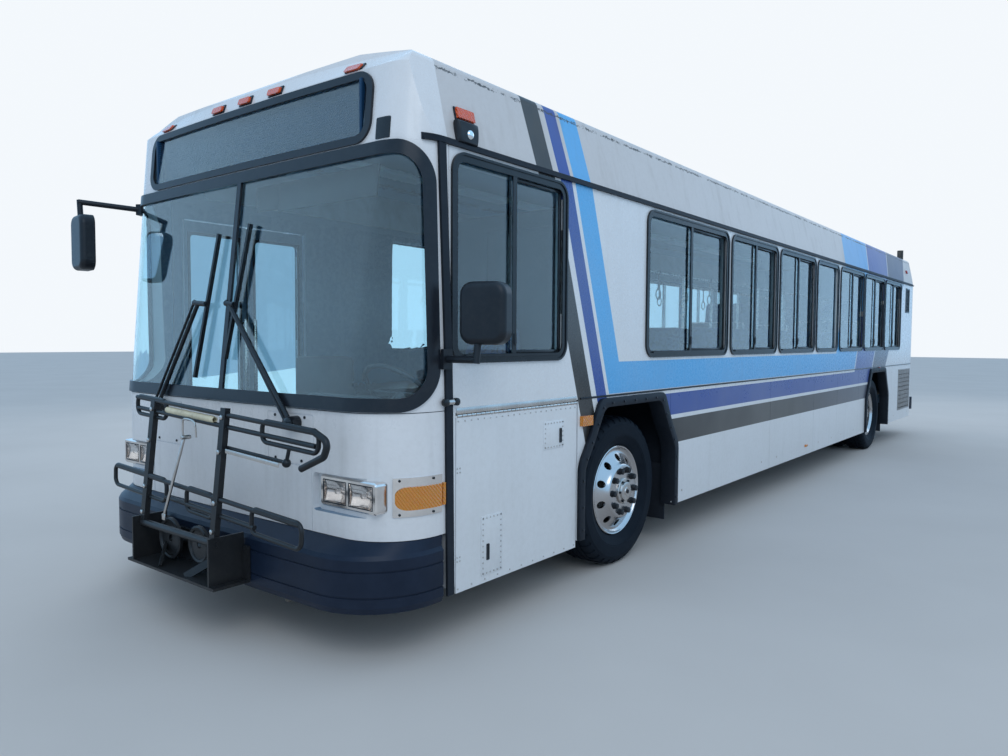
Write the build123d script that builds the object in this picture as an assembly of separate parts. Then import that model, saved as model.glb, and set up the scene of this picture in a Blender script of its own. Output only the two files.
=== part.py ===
from build123d import *
import math
import os

# City bus of the 40-foot class with a low floor. All sizes are millimetres.
# +X is the driver's side, +Y runs to the rear and +Z is up. The bus is drawn with its front axle at
# y = 0, and every piece is moved at the end so that the origin lies on the ground at mid-length.

# Whole body
WIDTH = 2590.0
HALF = WIDTH / 2
WALL = 60.0
SKIRT_THICKNESS = 40.0
SKIRT_Z = 300.0
SEAM_Z = 1155.0
WINDOW_Z = SEAM_Z + 240
DRIP_Z = 2430.0
WINDOW_TOP_Z = DRIP_Z - 19
ROOF_RISE = 505.0
CROWN_Z = DRIP_Z + ROOF_RISE
SEAM = 4.0
REST_GAP = 0.3
MOVE_GAP = 6.0
BEYOND = 20000.0

# Stations along the bus, measured from the front axle
WHEELBASE = 7107.0
NOSE_Y = -2200.0
PILLAR_Y = NOSE_Y + 404
REAR_OVERHANG = 2393.0
REAR_CORNER_R = 150.0
REAR_BUMPER_DEPTH = 140.0
REAR_CORNER_Y = WHEELBASE + REAR_OVERHANG
REAR_FACE_Y = REAR_CORNER_Y + REAR_CORNER_R
REAR_BUMPER_Y = REAR_FACE_Y + REAR_BUMPER_DEPTH
MID_Y = (NOSE_Y - 320 + REAR_BUMPER_Y) / 2

# Roof section, at the outer skin
COVE_X = HALF - 92
COVE_Z = CROWN_Z - 120
ROOF_EDGE_X = HALF - 130
ROOF_EDGE_Z = CROWN_Z - 73
COVE_BULGE = 0.15
ROOF_THICKNESS = 50.0

# Nose: height, y of the front face, corner radius of the plan outline, bow of the front face
NOSE = (
    (SKIRT_Z - 60, NOSE_Y + 5, 310.0, 16.0),
    (SEAM_Z + 13, NOSE_Y, 320.0, 16.0),
    (DRIP_Z - 10, NOSE_Y + 145, 210.0, 12.0),
    (CROWN_Z - 145, NOSE_Y + 169, 200.0, 25.0),
    (CROWN_Z - 73, NOSE_Y + 192, 100.0, 100.0),
    (CROWN_Z + 30, NOSE_Y + 205, 80.0, 110.0),
)
MASK_Z = 578.0
MASK_TOP_Z = SEAM_Z + 13
HEADER_Z = DRIP_Z - 5
# Rounded brow of the header cap: distance behind the nose, drop below the crown
BROW = ((300.0, 17.0), (210.0, 55.0), (186.0, 80.0), (168.0, 135.0))

# Windshield with its gasket, and the sign window above it
SHIELD_Z = MASK_TOP_Z + 57
SHIELD_TOP_Z = DRIP_Z - 55
SHIELD_END_Y = PILLAR_Y - 115
SHIELD_LEAN = 43.0
SHIELD_R = 150.0
GASKET_W = 50.0
GASKET_LIP = 14.0
GASKET_PROUD = 14.0
GLASS_T = 8.0
DIVIDER_W = 36.0
SIGN_HALF = 1000.0
SIGN_Z = DRIP_Z + 33
SIGN_TOP_Z = CROWN_Z - 187
SIGN_R = 70.0
SIGN_RIM = 30.0
SIGN_LIP = 8.0

# Access panels of the mask, whose seams are narrow grooves: inner and outer x, lower and upper z
ACCESS_PANEL = (420.0, 780.0, 890.0, 1145.0)
GROOVE_W = 4.0
GROOVE_DEPTH = 3.0

# Headlamps stand in a recess of the mask, and the turn lamps follow the corner beside them
LAMP_X = HALF - 498
LAMP_END_X = HALF - 100
LAMP_Z = 708.0
LAMP_TOP_Z = 857.0
LAMP_FRONT_Y = NOSE_Y + 35
LAMP_BACK_Y = NOSE_Y + 120
LAMP_R = 18.0
LENS_W = 160.0
LENS_H = 104.0
LENS_PITCH = 184.0
LENS_DEPTH = 42.0
RECESS_MARGIN = 24.0
RECESS_DEPTH = 50.0
TURN_X = HALF - 78
TURN_END_Y = PILLAR_Y - 46
TURN_Z = 690.0
TURN_TOP_Z = 872.0
TURN_LENS_Z = 722.0
TURN_LENS_TOP_Z = 830.0
TURN_BEZEL = 7.0
TURN_PROUD = 16.0
MARKERS = (-870.0, -270.0, 0.0, 270.0, 870.0)

# Bumper
BUMPER_Z = 255.0
BUMPER_SHOULDER_Z = 505.0
BUMPER_FRONT_Y = NOSE_Y - 98
BUMPER_HALF = HALF + 15
BUMPER_R = 400.0
BUMPER_BOW = 14.0
BUMPER_END_Y = PILLAR_Y - 44
BUMPER_WALL = 118.0
BUMPER_GROOVES = (328.0, 448.0)

# Wheels and axles
TYRE_R = 500.0
TYRE_W = 290.0
RIM_R = 302.0
HUB_Z = TYRE_R
HUB_BORE = 45.0
REAR_HUB_BORE = 60.0
WHEEL_X = HALF - 205
TWIN_PITCH = 335.0
KINGPIN_X = WHEEL_X - 160
KINGPIN_R = 20.0
REAR_STUB_X = 600.0
# Tyre section: radius, half width as a share of the tyre's width
TYRE_SECTION = ((RIM_R, 0.36), (TYRE_R - 100, 0.5), (TYRE_R - 28, 0.475), (TYRE_R, 0.37))
HAND_HOLES = 10

# Wheel arches: outline of the opening from the ground up, measured from the arch's middle
ARCH_MIDDLE = 30.0
ARCH = ((-622.0, 200.0), (-622.0, 735.0), (-505.0, 905.0), (-390.0, 1095.0),
        (390.0, 1095.0), (505.0, 905.0), (622.0, 735.0), (622.0, 200.0))
FLARE_W = 52.0
FLARE_PROUD = 26.0
FLARE_DEPTH = 90.0
WHEELHOUSE_RUN = 690.0
WHEELHOUSE_X = HALF - 790
REAR_WHEELHOUSE_X = HALF - 750
WHEELHOUSE_T = 25.0
WHEELHOUSE_TOP = 2 * TYRE_R + 130

# Floors
FLOOR_Z = 390.0
FLOOR_T = 60.0
REAR_RISE = 460.0
REAR_FLOOR_Z = FLOOR_Z + REAR_RISE
PLATFORM_RISE = 230.0
PLATFORM_Z = FLOOR_Z + PLATFORM_RISE
PLATFORM_T = 30.0
STEP_RUN = 300.0
STEP_Y = WHEELBASE - 1657
FIREWALL_Y = REAR_CORNER_Y - 1050
SHELF_Z = 1650.0
TOE_HALF = HALF - 215
RAIL_X = 430.0
RAIL_W = 60.0
CROSS_W = 80.0
TOW_EYE_Z = 228.0
TOW_EYE_R = 22.0
TOW_PLATE_X = 520.0

# Doors on the right side: first and last station of the opening
DOOR_Z = FLOOR_Z - 45
DOOR_TOP_Z = DRIP_Z - 100
FRONT_DOOR = (PILLAR_Y + 71, ARCH_MIDDLE - 730)
REAR_DOOR = (WHEELBASE - 2952, WHEELBASE - 2027)
LEAF_T = 40.0
LEAF_RAIL = 55.0
LEAF_GAP = 14.0
LEAF_INSET = 5.0

# Passenger windows on both sides: start, length, number of panes. The second and third share what
# lies between the first, placed from the front axle, and the fourth, placed from the rear axle.
POST = 55.0
FIRST_WINDOW_Y = 196.0
FIRST_WINDOW = 1445.0
DOOR_WINDOW_Y = WHEELBASE - 2957
MID_WINDOW_Y = FIRST_WINDOW_Y + FIRST_WINDOW + POST
MID_WINDOW = (DOOR_WINDOW_Y - MID_WINDOW_Y - 2 * POST) / 2
WINDOWS = (
    (FIRST_WINDOW_Y, FIRST_WINDOW, 2),
    (MID_WINDOW_Y, MID_WINDOW, 2),
    (MID_WINDOW_Y + MID_WINDOW + POST, MID_WINDOW, 2),
    (DOOR_WINDOW_Y, 865.0, 1),
    (WHEELBASE - 2013, 1160.0, 2),
    (WHEELBASE - 812, 1160.0, 2),
    (WHEELBASE + 383, 1090.0, 2),
)
DRIVER_WINDOW = (PILLAR_Y + 16, 995.0, 2)
DOOR_SIDE_WINDOW = 3
FRAME_R = 95.0
FRAME_W = 45.0
FRAME_PROUD = 8.0
FRAME_RIDGE = 6.0
RIDGE_W = 13.0
CUT_INSET = 30.0
PANE_T = 6.0
PANE_DEPTH = 22.0
MULLION_W = 34.0

# Seams between the skirt panels
SKIRT_SEAMS = (-645.0, 607.0, 2750.0, REAR_DOOR[0] - 8, REAR_DOOR[1] + 10, WHEELBASE - 1005,
               WHEELBASE + 995, REAR_CORNER_Y + SEAM / 2)
REAR_DOOR_PANEL = 3

# Grilles: first and last station, lower and upper edge
SIDE_VENT = (REAR_CORNER_Y - 940, REAR_CORNER_Y - 60, 450.0, 1085.0)
SLOT_VENT = (REAR_CORNER_Y - 560, REAR_CORNER_Y - 250, DRIP_Z - 450, DRIP_Z - 60)
# Rear grille: half width, lower and upper edge, depth
REAR_VENT = (700.0, DRIP_Z - 410, DRIP_Z - 50, 30.0)
# Small grille beside the sign: inner and outer x, lower and upper edge
SIGN_VENT = (SIGN_HALF + 63, SIGN_HALF + 147, SIGN_Z - 27, SIGN_Z + 73)

# Compartment and doors that lift
BATTERY_DOOR = (PILLAR_Y + 54, ARCH_MIDDLE - 682)
BATTERY_DOOR_Z = 262.0
BATTERY_DOOR_TOP = SEAM_Z - 15
BATTERY_DEPTH = 620.0
BATTERY_BOX_T = 25.0
LID_T = 30.0
PIANO_HINGE_R = 8.0
ENGINE_DOOR_HALF = HALF - 365
ENGINE_DOOR_Z = 640.0
ENGINE_DOOR_TOP = 1500.0

# Roof hatches
HATCHES = (("roof_hatch_front", 1500.0), ("roof_hatch_rear", WHEELBASE - 207))
HATCH_HALF = 300.0
HATCH_CURB_Z = CROWN_Z + 45
HATCH_T = 40.0

# Driver's place
DRIVER_X = HALF - 570
WHEEL_TILT = 44.0
STEERING_R = 235.0

# Mirrors: x, y and z of the head's middle, its width and height, and its turn towards the driver
LEFT_MIRROR = (HALF + 230, PILLAR_Y - 4, 1632.0, 236.0, 290.0, 14.0)
RIGHT_MIRROR = (-HALF - 100, NOSE_Y - 110, DRIP_Z - 315, 236.0, 350.0, -8.0)
MIRROR_DEPTH = 85.0
MIRROR_R = 62.0
MIRROR_ARM_R = 17.0

# Wipers: pivot x and z, elbow x and z, lower and upper end of the blade
WIPERS = (
    (660.0, 1100.0, 60.0, 1690.0, 45.0, 1400.0, 165.0, 2120.0),
    (-625.0, 1110.0, -265.0, 1700.0, -245.0, 1290.0, -130.0, 2090.0),
)

# Bike rack, folded up against the front
RACK_PIVOT_Y = NOSE_Y - 262
RACK_PIVOT_Z = 500.0
RACK_TOP_Y = RACK_PIVOT_Y + 74
RACK_TOP_Z = 1165.0
RACK_POST_X = 347.0
RACK_POST_W = 42.0
RACK_POST_T = 30.0
RACK_BAR_R = 12.0
RACK_LOOP_R = 11.0
RACK_LOOP_BEND = 40.0
RACK_SAG = 2.8
# Trays: height of the top bar, its ends, height and ends of the second bar, height of the loops,
# and the ends of each loop
RACK_TRAYS = (
    (1149.0, -545.0, 1060.0, 1090.0, -530.0, 1060.0, 100.0, ((-540.0, -220.0), (660.0, 1080.0))),
    (736.0, -700.0, 1000.0, 655.0, -150.0, 660.0, 118.0,
     ((-726.0, -147.0), (56.0, 312.0), (636.0, 1015.0))),
)


def block(x0, x1, y0, y1, z0, z1):
    """A box given by its two corners."""
    return Pos((x0 + x1) / 2, (y0 + y1) / 2, (z0 + z1) / 2) * Box(x1 - x0, y1 - y0, z1 - z0)


def across(side, inner, outer):
    """The x limits of something on one side of the bus, lowest first."""
    return sorted((side * inner, side * outer))


def strut(start, end, radius):
    """A round bar between two points."""
    a = Vector(*start)
    b = Vector(*end)
    return Solid.make_cylinder(radius, (b - a).length, Plane(origin=a, z_dir=b - a))


def flat_bar(start, end, width, thickness, side=(0, 1, 0)):
    """A rectangular bar between two points, its thickness along the side direction."""
    a = Vector(*start)
    b = Vector(*end)
    run = Plane(origin=a, x_dir=Vector(*side), z_dir=b - a)
    return extrude(run * Rectangle(thickness, width), (b - a).length)


def side_prism(y0, y1, z0, z1, radius, x0, x1):
    """A rounded rectangle seen from the side, from one x to another."""
    seen = Plane(origin=(x0, (y0 + y1) / 2, (z0 + z1) / 2), x_dir=(0, 1, 0), z_dir=(1, 0, 0))
    return extrude(seen * RectangleRounded(y1 - y0, z1 - z0, radius), x1 - x0)


def front_prism(x0, x1, z0, z1, radius, y0, y1):
    """A rounded rectangle seen from the front, from one y to another."""
    seen = Plane(origin=((x0 + x1) / 2, y0, (z0 + z1) / 2), x_dir=(1, 0, 0), z_dir=(0, -1, 0))
    return extrude(seen * RectangleRounded(x1 - x0, z1 - z0, radius), -(y1 - y0))


def through_front(x0, x1, z0, z1, radius):
    """A rounded rectangle seen from the front that passes through the whole nose."""
    return front_prism(x0, x1, z0, z1, radius, NOSE_Y - 150, PILLAR_Y - 20)


def side_outline(points, x0, x1):
    """A polygon of (y, z) points, from one x to another."""
    wire = Wire.make_polygon([(x0, y, z) for y, z in points], close=True)
    return extrude(Face(wire), x1 - x0, dir=(1, 0, 0))


def mirrored(shape):
    """The same piece on the other side of the bus."""
    return mirror(shape, about=Plane.YZ)


def plan_outline(z, half, front_y, bow, radius, back_y):
    """A plan outline with straight sides, round front corners and a bowed front, at a height."""
    bend = radius * (1 - math.sqrt(0.5))
    left = [(half, back_y, z), (half, front_y + radius, z), (half - bend, front_y + bend, z),
            (half - radius, front_y, z)]
    right = [(-x, y, h) for x, y, h in left]
    return Wire([
        Edge.make_line(left[0], left[1]),
        Edge.make_three_point_arc(left[1], left[2], left[3]),
        Edge.make_three_point_arc(left[3], (0, front_y - bow, z), right[3]),
        Edge.make_three_point_arc(right[3], right[2], right[1]),
        Edge.make_line(right[1], right[0]),
        Edge.make_line(right[0], left[0]),
    ])


def nose_size(z):
    """Front face, corner radius and bow of the nose at a height, between the table's sections."""
    for low, high in zip(NOSE, NOSE[1:]):
        if z <= high[0] or high == NOSE[-1]:
            share = (z - low[0]) / (high[0] - low[0])
            return [a + share * (b - a) for a, b in zip(low[1:], high[1:])]


def nose_outline(z, inset, back_y):
    """Plan outline of the nose at a height, drawn in by an inset."""
    face_y, corner, bow = nose_size(z)
    return plan_outline(z, HALF - inset, face_y + bow + inset, bow, corner - inset, back_y)


def nose_solid(z0, z1, inset, back_y=PILLAR_Y):
    """The whole nose between two heights, drawn in by an inset."""
    heights = [z0] + [row[0] for row in NOSE if z0 < row[0] < z1] + [z1]
    slices = [Solid.make_loft([nose_outline(low, inset, back_y), nose_outline(high, inset, back_y)],
                              ruled=True)
              for low, high in zip(heights, heights[1:])]
    solid = slices[0]
    for piece in slices[1:]:
        solid = solid.fuse(piece)
    return solid


def nose_shell(z0, z1, outer, inner):
    """A skin of the nose between two insets."""
    return nose_solid(z0, z1, outer) - nose_solid(z0 - 1, z1 + 1, inner, PILLAR_Y + 100)


def shield_region(grow):
    """Everything behind the outline of the windshield, grown by a rim, with round lower corners.

    The outline is drawn square to the corner of the nose, and its end leans with the pillar.
    """
    reach = 3000.0
    low = SHIELD_Z - grow
    high = SHIELD_TOP_Z + grow
    end_y = SHIELD_END_Y + grow * math.sqrt(2)
    seen = Plane(origin=(HALF, end_y, 0), x_dir=(1, 1, 0), z_dir=(1, -1, 0))
    lean = SHIELD_LEAN / math.sqrt(2)
    outline = make_face(Polyline((-reach, low), (0, low), (-lean, high), (-reach, high), close=True))
    outline = fillet(outline.vertices().sort_by(Axis.X)[-2:], SHIELD_R + grow)
    half = extrude(seen * outline, reach, both=True) & block(0, reach, -reach, reach, 0, reach)
    return half + mirrored(half)


def roof_outline(y, inset):
    """Section of the roof with its coves, drawn in by an inset."""
    cove = (COVE_X - inset, y, COVE_Z - 0.3 * inset)
    edge = (ROOF_EDGE_X - 0.6 * inset, y, ROOF_EDGE_Z - inset)
    chord = (cove[0] - edge[0], edge[2] - cove[2])
    middle = ((cove[0] + edge[0]) / 2 + COVE_BULGE * chord[1], y,
              (cove[2] + edge[2]) / 2 + COVE_BULGE * chord[0])
    foot = (HALF - inset, y, DRIP_Z)

    def other(point):
        return (-point[0], point[1], point[2])

    return Wire([
        Edge.make_line(foot, cove),
        Edge.make_three_point_arc(cove, middle, edge),
        Edge.make_three_point_arc(edge, (0, y, CROWN_Z - inset), other(edge)),
        Edge.make_three_point_arc(other(edge), other(middle), other(cove)),
        Edge.make_line(other(cove), other(foot)),
        Edge.make_line(other(foot), foot),
    ])


def roof_solid(y0, y1, inset):
    """The roof's section as a solid bar along the bus."""
    return extrude(Face(roof_outline(y0, inset)), y1 - y0, dir=(0, 1, 0))


def roof_solid_low(y0, y1, inset):
    """The roof's section with a straight foot down to the header's lower edge."""
    half = HALF - inset
    return roof_solid(y0, y1, inset) + block(-half, half, y0, y1, HEADER_Z - 5, DRIP_Z)


def make_roof():
    roof = roof_solid(PILLAR_Y, REAR_CORNER_Y, 0)
    roof -= roof_solid(PILLAR_Y - 1, REAR_CORNER_Y + 1, ROOF_THICKNESS)
    inner = HATCH_HALF - 30
    for _, y in HATCHES:
        curb = block(-HATCH_HALF, HATCH_HALF, y - HATCH_HALF, y + HATCH_HALF, CROWN_Z - 60, HATCH_CURB_Z)
        curb -= roof_solid(y - HATCH_HALF - 100, y + HATCH_HALF + 100, ROOF_THICKNESS - 10)
        hole = block(-inner, inner, y - inner, y + inner, CROWN_Z - 200, HATCH_CURB_Z + 1)
        roof = roof + curb - hole
    return roof


def make_hatch(y):
    """Moulded hatch lid with bevelled edges, resting on its curb."""
    size = HATCH_HALF + 45
    lid = block(-size, size, y - size, y + size, HATCH_CURB_Z + REST_GAP, HATCH_CURB_Z + HATCH_T)
    return chamfer(lid.faces().sort_by(Axis.Z)[-1].edges(), 12)


def lamp_block(side, grow, front_y):
    """Body of a headlamp unit, or the hole for it."""
    x0, x1 = across(side, LAMP_X - grow, LAMP_END_X + grow)
    return front_prism(x0, x1, LAMP_Z - grow, LAMP_TOP_Z + grow, LAMP_R, front_y, LAMP_BACK_Y + grow)


def make_mask():
    """Moulded front panel with the lamp recesses and the seams of its access panels."""
    mask = nose_shell(MASK_Z, MASK_TOP_Z, 0, WALL)
    skin = nose_shell(MASK_Z - 1, MASK_TOP_Z - SEAM, -1, GROOVE_DEPTH)
    inner, outer, low, high = ACCESS_PANEL
    for side in (1, -1):
        x0, x1 = across(side, LAMP_X - RECESS_MARGIN, LAMP_END_X + RECESS_MARGIN)
        recess = front_prism(x0, x1, LAMP_Z - RECESS_MARGIN, LAMP_TOP_Z + RECESS_MARGIN / 2,
                             LAMP_R + 6, NOSE_Y - 50, NOSE_Y + RECESS_DEPTH)
        mask = mask - recess - lamp_block(side, REST_GAP, NOSE_Y - 50)
        x0, x1 = across(side, inner, outer)
        ring = through_front(x0, x1, low, high, 12)
        ring -= through_front(x0 + GROOVE_W, x1 - GROOVE_W, low + GROOVE_W, high - GROOVE_W, 8)
        x2, x3 = across(side, outer - 14, outer - 14 - GROOVE_W)
        ring += block(x2, x3, NOSE_Y - 150, PILLAR_Y, MASK_Z - 5, low + GROOVE_W / 2)
        mask -= ring & skin
    return mask


def lens_places():
    """Side and x of the middle of each headlamp lens."""
    middle = (LAMP_X + LAMP_END_X) / 2
    return [(side, side * (middle + step * LENS_PITCH / 2)) for side in (1, -1) for step in (-1, 1)]


def lens_block(x, shrink, y0, y1):
    """A headlamp lens, or its pocket."""
    middle = (LAMP_Z + LAMP_TOP_Z) / 2
    half_w = LENS_W / 2 - shrink
    half_h = LENS_H / 2 - shrink
    return front_prism(x - half_w, x + half_w, middle - half_h, middle + half_h, 12 - shrink, y0, y1)


def make_headlamps():
    """Chrome bezels with two deep lens pockets, and the bezels of the turn lamps."""
    pieces = []
    for side in (1, -1):
        lamp = lamp_block(side, 0, LAMP_FRONT_Y)
        lamp = chamfer(lamp.faces().sort_by(Axis.Y)[0].edges(), 7)
        for lens_side, x in lens_places():
            if lens_side == side:
                lamp -= lens_block(x, 0, LAMP_FRONT_Y - 1, LAMP_FRONT_Y + LENS_DEPTH)
        x0, x1 = across(side, TURN_X, HALF + 20)
        bezel = nose_shell(TURN_Z, TURN_TOP_Z, -TURN_BEZEL, -REST_GAP)
        bezel &= block(x0, x1, NOSE_Y - 50, TURN_END_Y, TURN_Z, TURN_TOP_Z)
        pieces += [lamp, bezel]
    return pieces


def make_headlamp_lenses():
    return [lens_block(x, REST_GAP, LAMP_FRONT_Y + 3, LAMP_FRONT_Y + 9) for _, x in lens_places()]


def make_amber_lamps():
    """Turn lamps on the corners, marker lamps over the sign and on the sides."""
    lamps = []
    middle_z = (TURN_LENS_Z + TURN_LENS_TOP_Z) / 2
    for side in (1, -1):
        x0, x1 = across(side, TURN_X + 14, HALF + 120)
        lens = nose_shell(TURN_LENS_Z, TURN_LENS_TOP_Z, -TURN_PROUD, -TURN_BEZEL - REST_GAP)
        lens &= front_prism(x0, x1, TURN_LENS_Z, TURN_LENS_TOP_Z, 40, NOSE_Y - 50, TURN_END_Y - 12)
        lamps.append(lens)
        x0, x1 = across(side, HALF + REST_GAP, HALF + 12)
        lamps.append(block(x0, x1, TURN_END_Y + 3, TURN_END_Y + 20, middle_z - 54, middle_z + 54))
    for x in MARKERS:
        shell = nose_shell(CROWN_Z - 139, CROWN_Z - 105, -22, -REST_GAP)
        lamps.append(shell & through_front(x - 50, x + 50, CROWN_Z - 139, CROWN_Z - 105, 8))
    lean = (HALF - COVE_X) / (COVE_Z - DRIP_Z)
    rise = 171.0
    place = Pos(HALF - lean * rise, PILLAR_Y + 151, DRIP_Z + rise)
    tilt = Rot(0, -math.degrees(math.atan(lean)), 0)
    lamp = place * tilt * Pos(10 + REST_GAP, 0, 0) * Box(20, 126, 52)
    lamps += [lamp, mirrored(lamp)]
    x0, x1 = across(1, HALF + REST_GAP, HALF + 24)
    lamps.append(block(x0, x1, ARCH_MIDDLE - 650, ARCH_MIDDLE - 535, 993, 1054))
    x0, x1 = across(-1, HALF + REST_GAP, HALF + 24)
    lamps.append(block(x0, x1, ARCH_MIDDLE - 640, ARCH_MIDDLE - 480, SEAM_Z - 52, SEAM_Z - 5))
    return lamps


def brow_solid(inset):
    """Side view of the header cap: everything under its rounded brow."""
    brow = [(NOSE_Y + back + inset, CROWN_Z - drop - inset) for back, drop in BROW]
    behind = PILLAR_Y + 200
    before = NOSE_Y - 200
    points = [(behind, HEADER_Z - 10), (behind, CROWN_Z + 5 - inset), (PILLAR_Y, CROWN_Z + 5 - inset)]
    points += brow + [(before, CROWN_Z - 160 - inset), (before, HEADER_Z - 10)]
    return side_outline(points, -HALF - 10, HALF + 10)


def make_header():
    """Cap over the windshield with the opening of the sign."""
    top = CROWN_Z + 20
    front = NOSE_Y - 100
    shell = nose_solid(HEADER_Z, top, 0) & roof_solid_low(front, PILLAR_Y, 0) & brow_solid(0)
    hollow = nose_solid(HEADER_Z - 1, top, ROOF_THICKNESS, PILLAR_Y + 10)
    hollow = hollow & roof_solid_low(front, PILLAR_Y + 10, ROOF_THICKNESS) & brow_solid(ROOF_THICKNESS)
    return shell - hollow - through_front(-SIGN_HALF, SIGN_HALF, SIGN_Z, SIGN_TOP_Z, SIGN_R)


def make_front_posts():
    return nose_shell(MASK_TOP_Z + SEAM, HEADER_Z - REST_GAP, 0, WALL) - shield_region(0)


def make_windshield():
    """Two wrap-round panes and the pane of the sign."""
    glass = nose_shell(SHIELD_Z - 60, SHIELD_TOP_Z + 60, REST_GAP, REST_GAP + GLASS_T)
    glass = glass & shield_region(-REST_GAP)
    gap = DIVIDER_W / 2 - 8
    panes = [glass & block(*across(side, gap, HALF + 10), -BEYOND, 0, 0, BEYOND) for side in (1, -1)]
    sign = nose_shell(SIGN_Z - 20, SIGN_TOP_Z + 20, REST_GAP, REST_GAP + GLASS_T)
    sign = sign & through_front(-SIGN_HALF + 1, SIGN_HALF - 1, SIGN_Z + 1, SIGN_TOP_Z - 1, SIGN_R)
    return panes + [sign]


def make_front_gaskets():
    """Rubber round the windshield with its divider, and round the sign."""
    skin = nose_shell(MASK_TOP_Z + 1, HEADER_Z - 1, -GASKET_PROUD, 0)
    ring = skin & (shield_region(GASKET_W) - shield_region(-GASKET_LIP))
    divider = nose_shell(SHIELD_Z - GASKET_W, SHIELD_TOP_Z + GASKET_W, -GASKET_PROUD, 0)
    divider = divider & block(-DIVIDER_W / 2, DIVIDER_W / 2, -BEYOND, PILLAR_Y, SHIELD_Z, SHIELD_TOP_Z)
    rim = SIGN_RIM
    lip = SIGN_LIP
    sign = nose_shell(SIGN_Z - rim - 1, SIGN_TOP_Z + rim + 1, -GASKET_PROUD, 0)
    rim_z = (SIGN_Z - rim, SIGN_TOP_Z + rim)
    lip_z = (SIGN_Z + lip, SIGN_TOP_Z - lip)
    sign = sign & through_front(-SIGN_HALF - rim, SIGN_HALF + rim, *rim_z, SIGN_R + rim)
    sign = sign - through_front(-SIGN_HALF + lip, SIGN_HALF - lip, *lip_z, SIGN_R - lip)
    return [ring + divider, sign]


def wall_cut(start, length):
    """Square hole in the wall behind a window frame."""
    return block(HALF - WALL - 1, HALF + 1, start + CUT_INSET, start + length - CUT_INSET,
                 WINDOW_Z + CUT_INSET, WINDOW_TOP_Z - CUT_INSET)


def window_spans(right):
    """Rows of the window table on one side, with the driver's window on the left."""
    if right:
        return [span for index, span in enumerate(WINDOWS) if index != DOOR_SIDE_WINDOW]
    return [*WINDOWS, DRIVER_WINDOW]


def make_wall(right):
    """Side wall above the skirt with its window openings, and the post beside the front corner."""
    wall = block(HALF - WALL, HALF, PILLAR_Y + SEAM, REAR_CORNER_Y - REST_GAP, SEAM_Z + REST_GAP, DRIP_Z)
    for start, length, _ in window_spans(right):
        wall -= wall_cut(start, length)
    first = FRONT_DOOR[0] if right else BATTERY_DOOR[0]
    wall += block(HALF - WALL, HALF, PILLAR_Y + SEAM, first, SKIRT_Z, SEAM_Z + SEAM)
    if right:
        wall += block(HALF - WALL, HALF, FRONT_DOOR[1], SKIRT_SEAMS[0] - SEAM, SKIRT_Z, SEAM_Z + SEAM)
        for start, end in (FRONT_DOOR, REAR_DOOR):
            wall -= block(HALF - WALL - 1, HALF + 1, start, end, 0, DOOR_TOP_Z)
        return mirrored(wall)
    return wall - block(HALF - WALL - 1, HALF + 1, *SLOT_VENT)


def arch_outline(middle, grow):
    """Opening of a wheel arch, grown all round."""
    points = []
    for y, z in ARCH:
        outward = grow if y > 0 else -grow
        upward = 0 if z < 250 else 0.5 * grow if z < 1000 and z > 800 else grow
        points.append((middle + y + outward, z + (0.5 * grow if 700 < z < 800 else upward)))
    return points


def make_skirt(right):
    """Skirt panels between their seams, cut by the wheel arches and the side grille."""
    panels = []
    for index, (start, end) in enumerate(zip(SKIRT_SEAMS, SKIRT_SEAMS[1:])):
        if right and index == REAR_DOOR_PANEL:
            continue
        panel = block(HALF - SKIRT_THICKNESS, HALF, start + SEAM / 2, end - SEAM / 2, SKIRT_Z, SEAM_Z)
        for middle in (ARCH_MIDDLE, WHEELBASE + ARCH_MIDDLE):
            panel -= side_outline(arch_outline(middle, 3), HALF - 200, HALF + 50)
        if index == len(SKIRT_SEAMS) - 2 and not right:
            panel -= block(HALF - 200, HALF + 1, *SIDE_VENT)
        pieces = panel.solids()
        panels += [mirrored(piece) for piece in pieces] if right else list(pieces)
    return panels


def make_fenders():
    """Rubber lips round the four arches, each with a flange into the arch."""
    pieces = []
    for middle in (ARCH_MIDDLE, WHEELBASE + ARCH_MIDDLE):
        lip = side_outline(arch_outline(middle, FLARE_W), HALF + REST_GAP, HALF + FLARE_PROUD)
        lip -= side_outline(arch_outline(middle, 0), HALF - 1, HALF + FLARE_PROUD + 1)
        flange = side_outline(arch_outline(middle, 2.5), HALF - FLARE_DEPTH, HALF + FLARE_PROUD)
        flange -= side_outline(arch_outline(middle, -5), HALF - FLARE_DEPTH - 1, HALF + FLARE_PROUD + 1)
        fender = lip + flange - block(0, HALF * 2, -BEYOND, BEYOND, 0, SKIRT_Z)
        pieces += [fender, mirrored(fender)]
    return pieces


def make_window_frames():
    """Rubber-edged frames with an outer ridge, a sill and the meeting rail of the sliding panes."""
    frames = []
    base = HALF + REST_GAP
    face = HALF + FRAME_PROUD
    for right in (False, True):
        for start, length, panes in window_spans(right):
            z0 = WINDOW_Z
            z1 = WINDOW_TOP_Z
            end = start + length
            inner = side_prism(start + FRAME_W, end - FRAME_W, z0 + FRAME_W, z1 - FRAME_W,
                               FRAME_R - FRAME_W, HALF - 1, face + 1)
            frame = side_prism(start, end, z0, z1, FRAME_R, base, face) - inner
            ridge = side_prism(start, end, z0, z1, FRAME_R, base, face + FRAME_RIDGE)
            ridge -= side_prism(start + RIDGE_W, end - RIDGE_W, z0 + RIDGE_W, z1 - RIDGE_W,
                                FRAME_R - RIDGE_W, HALF - 1, face + FRAME_RIDGE + 1)
            frame = frame + ridge
            sill = z0 + FRAME_W - 14
            frame += block(base, face + 12, start + FRAME_R, end - FRAME_R, sill, sill + 10)
            if panes == 2:
                middle = start + length / 2
                frame += block(base, face - 2, middle - MULLION_W / 2, middle + MULLION_W / 2,
                               z0 + FRAME_W - 5, z1 - FRAME_W + 5)
            frames.append(mirrored(frame) if right else frame)
    return frames


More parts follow.
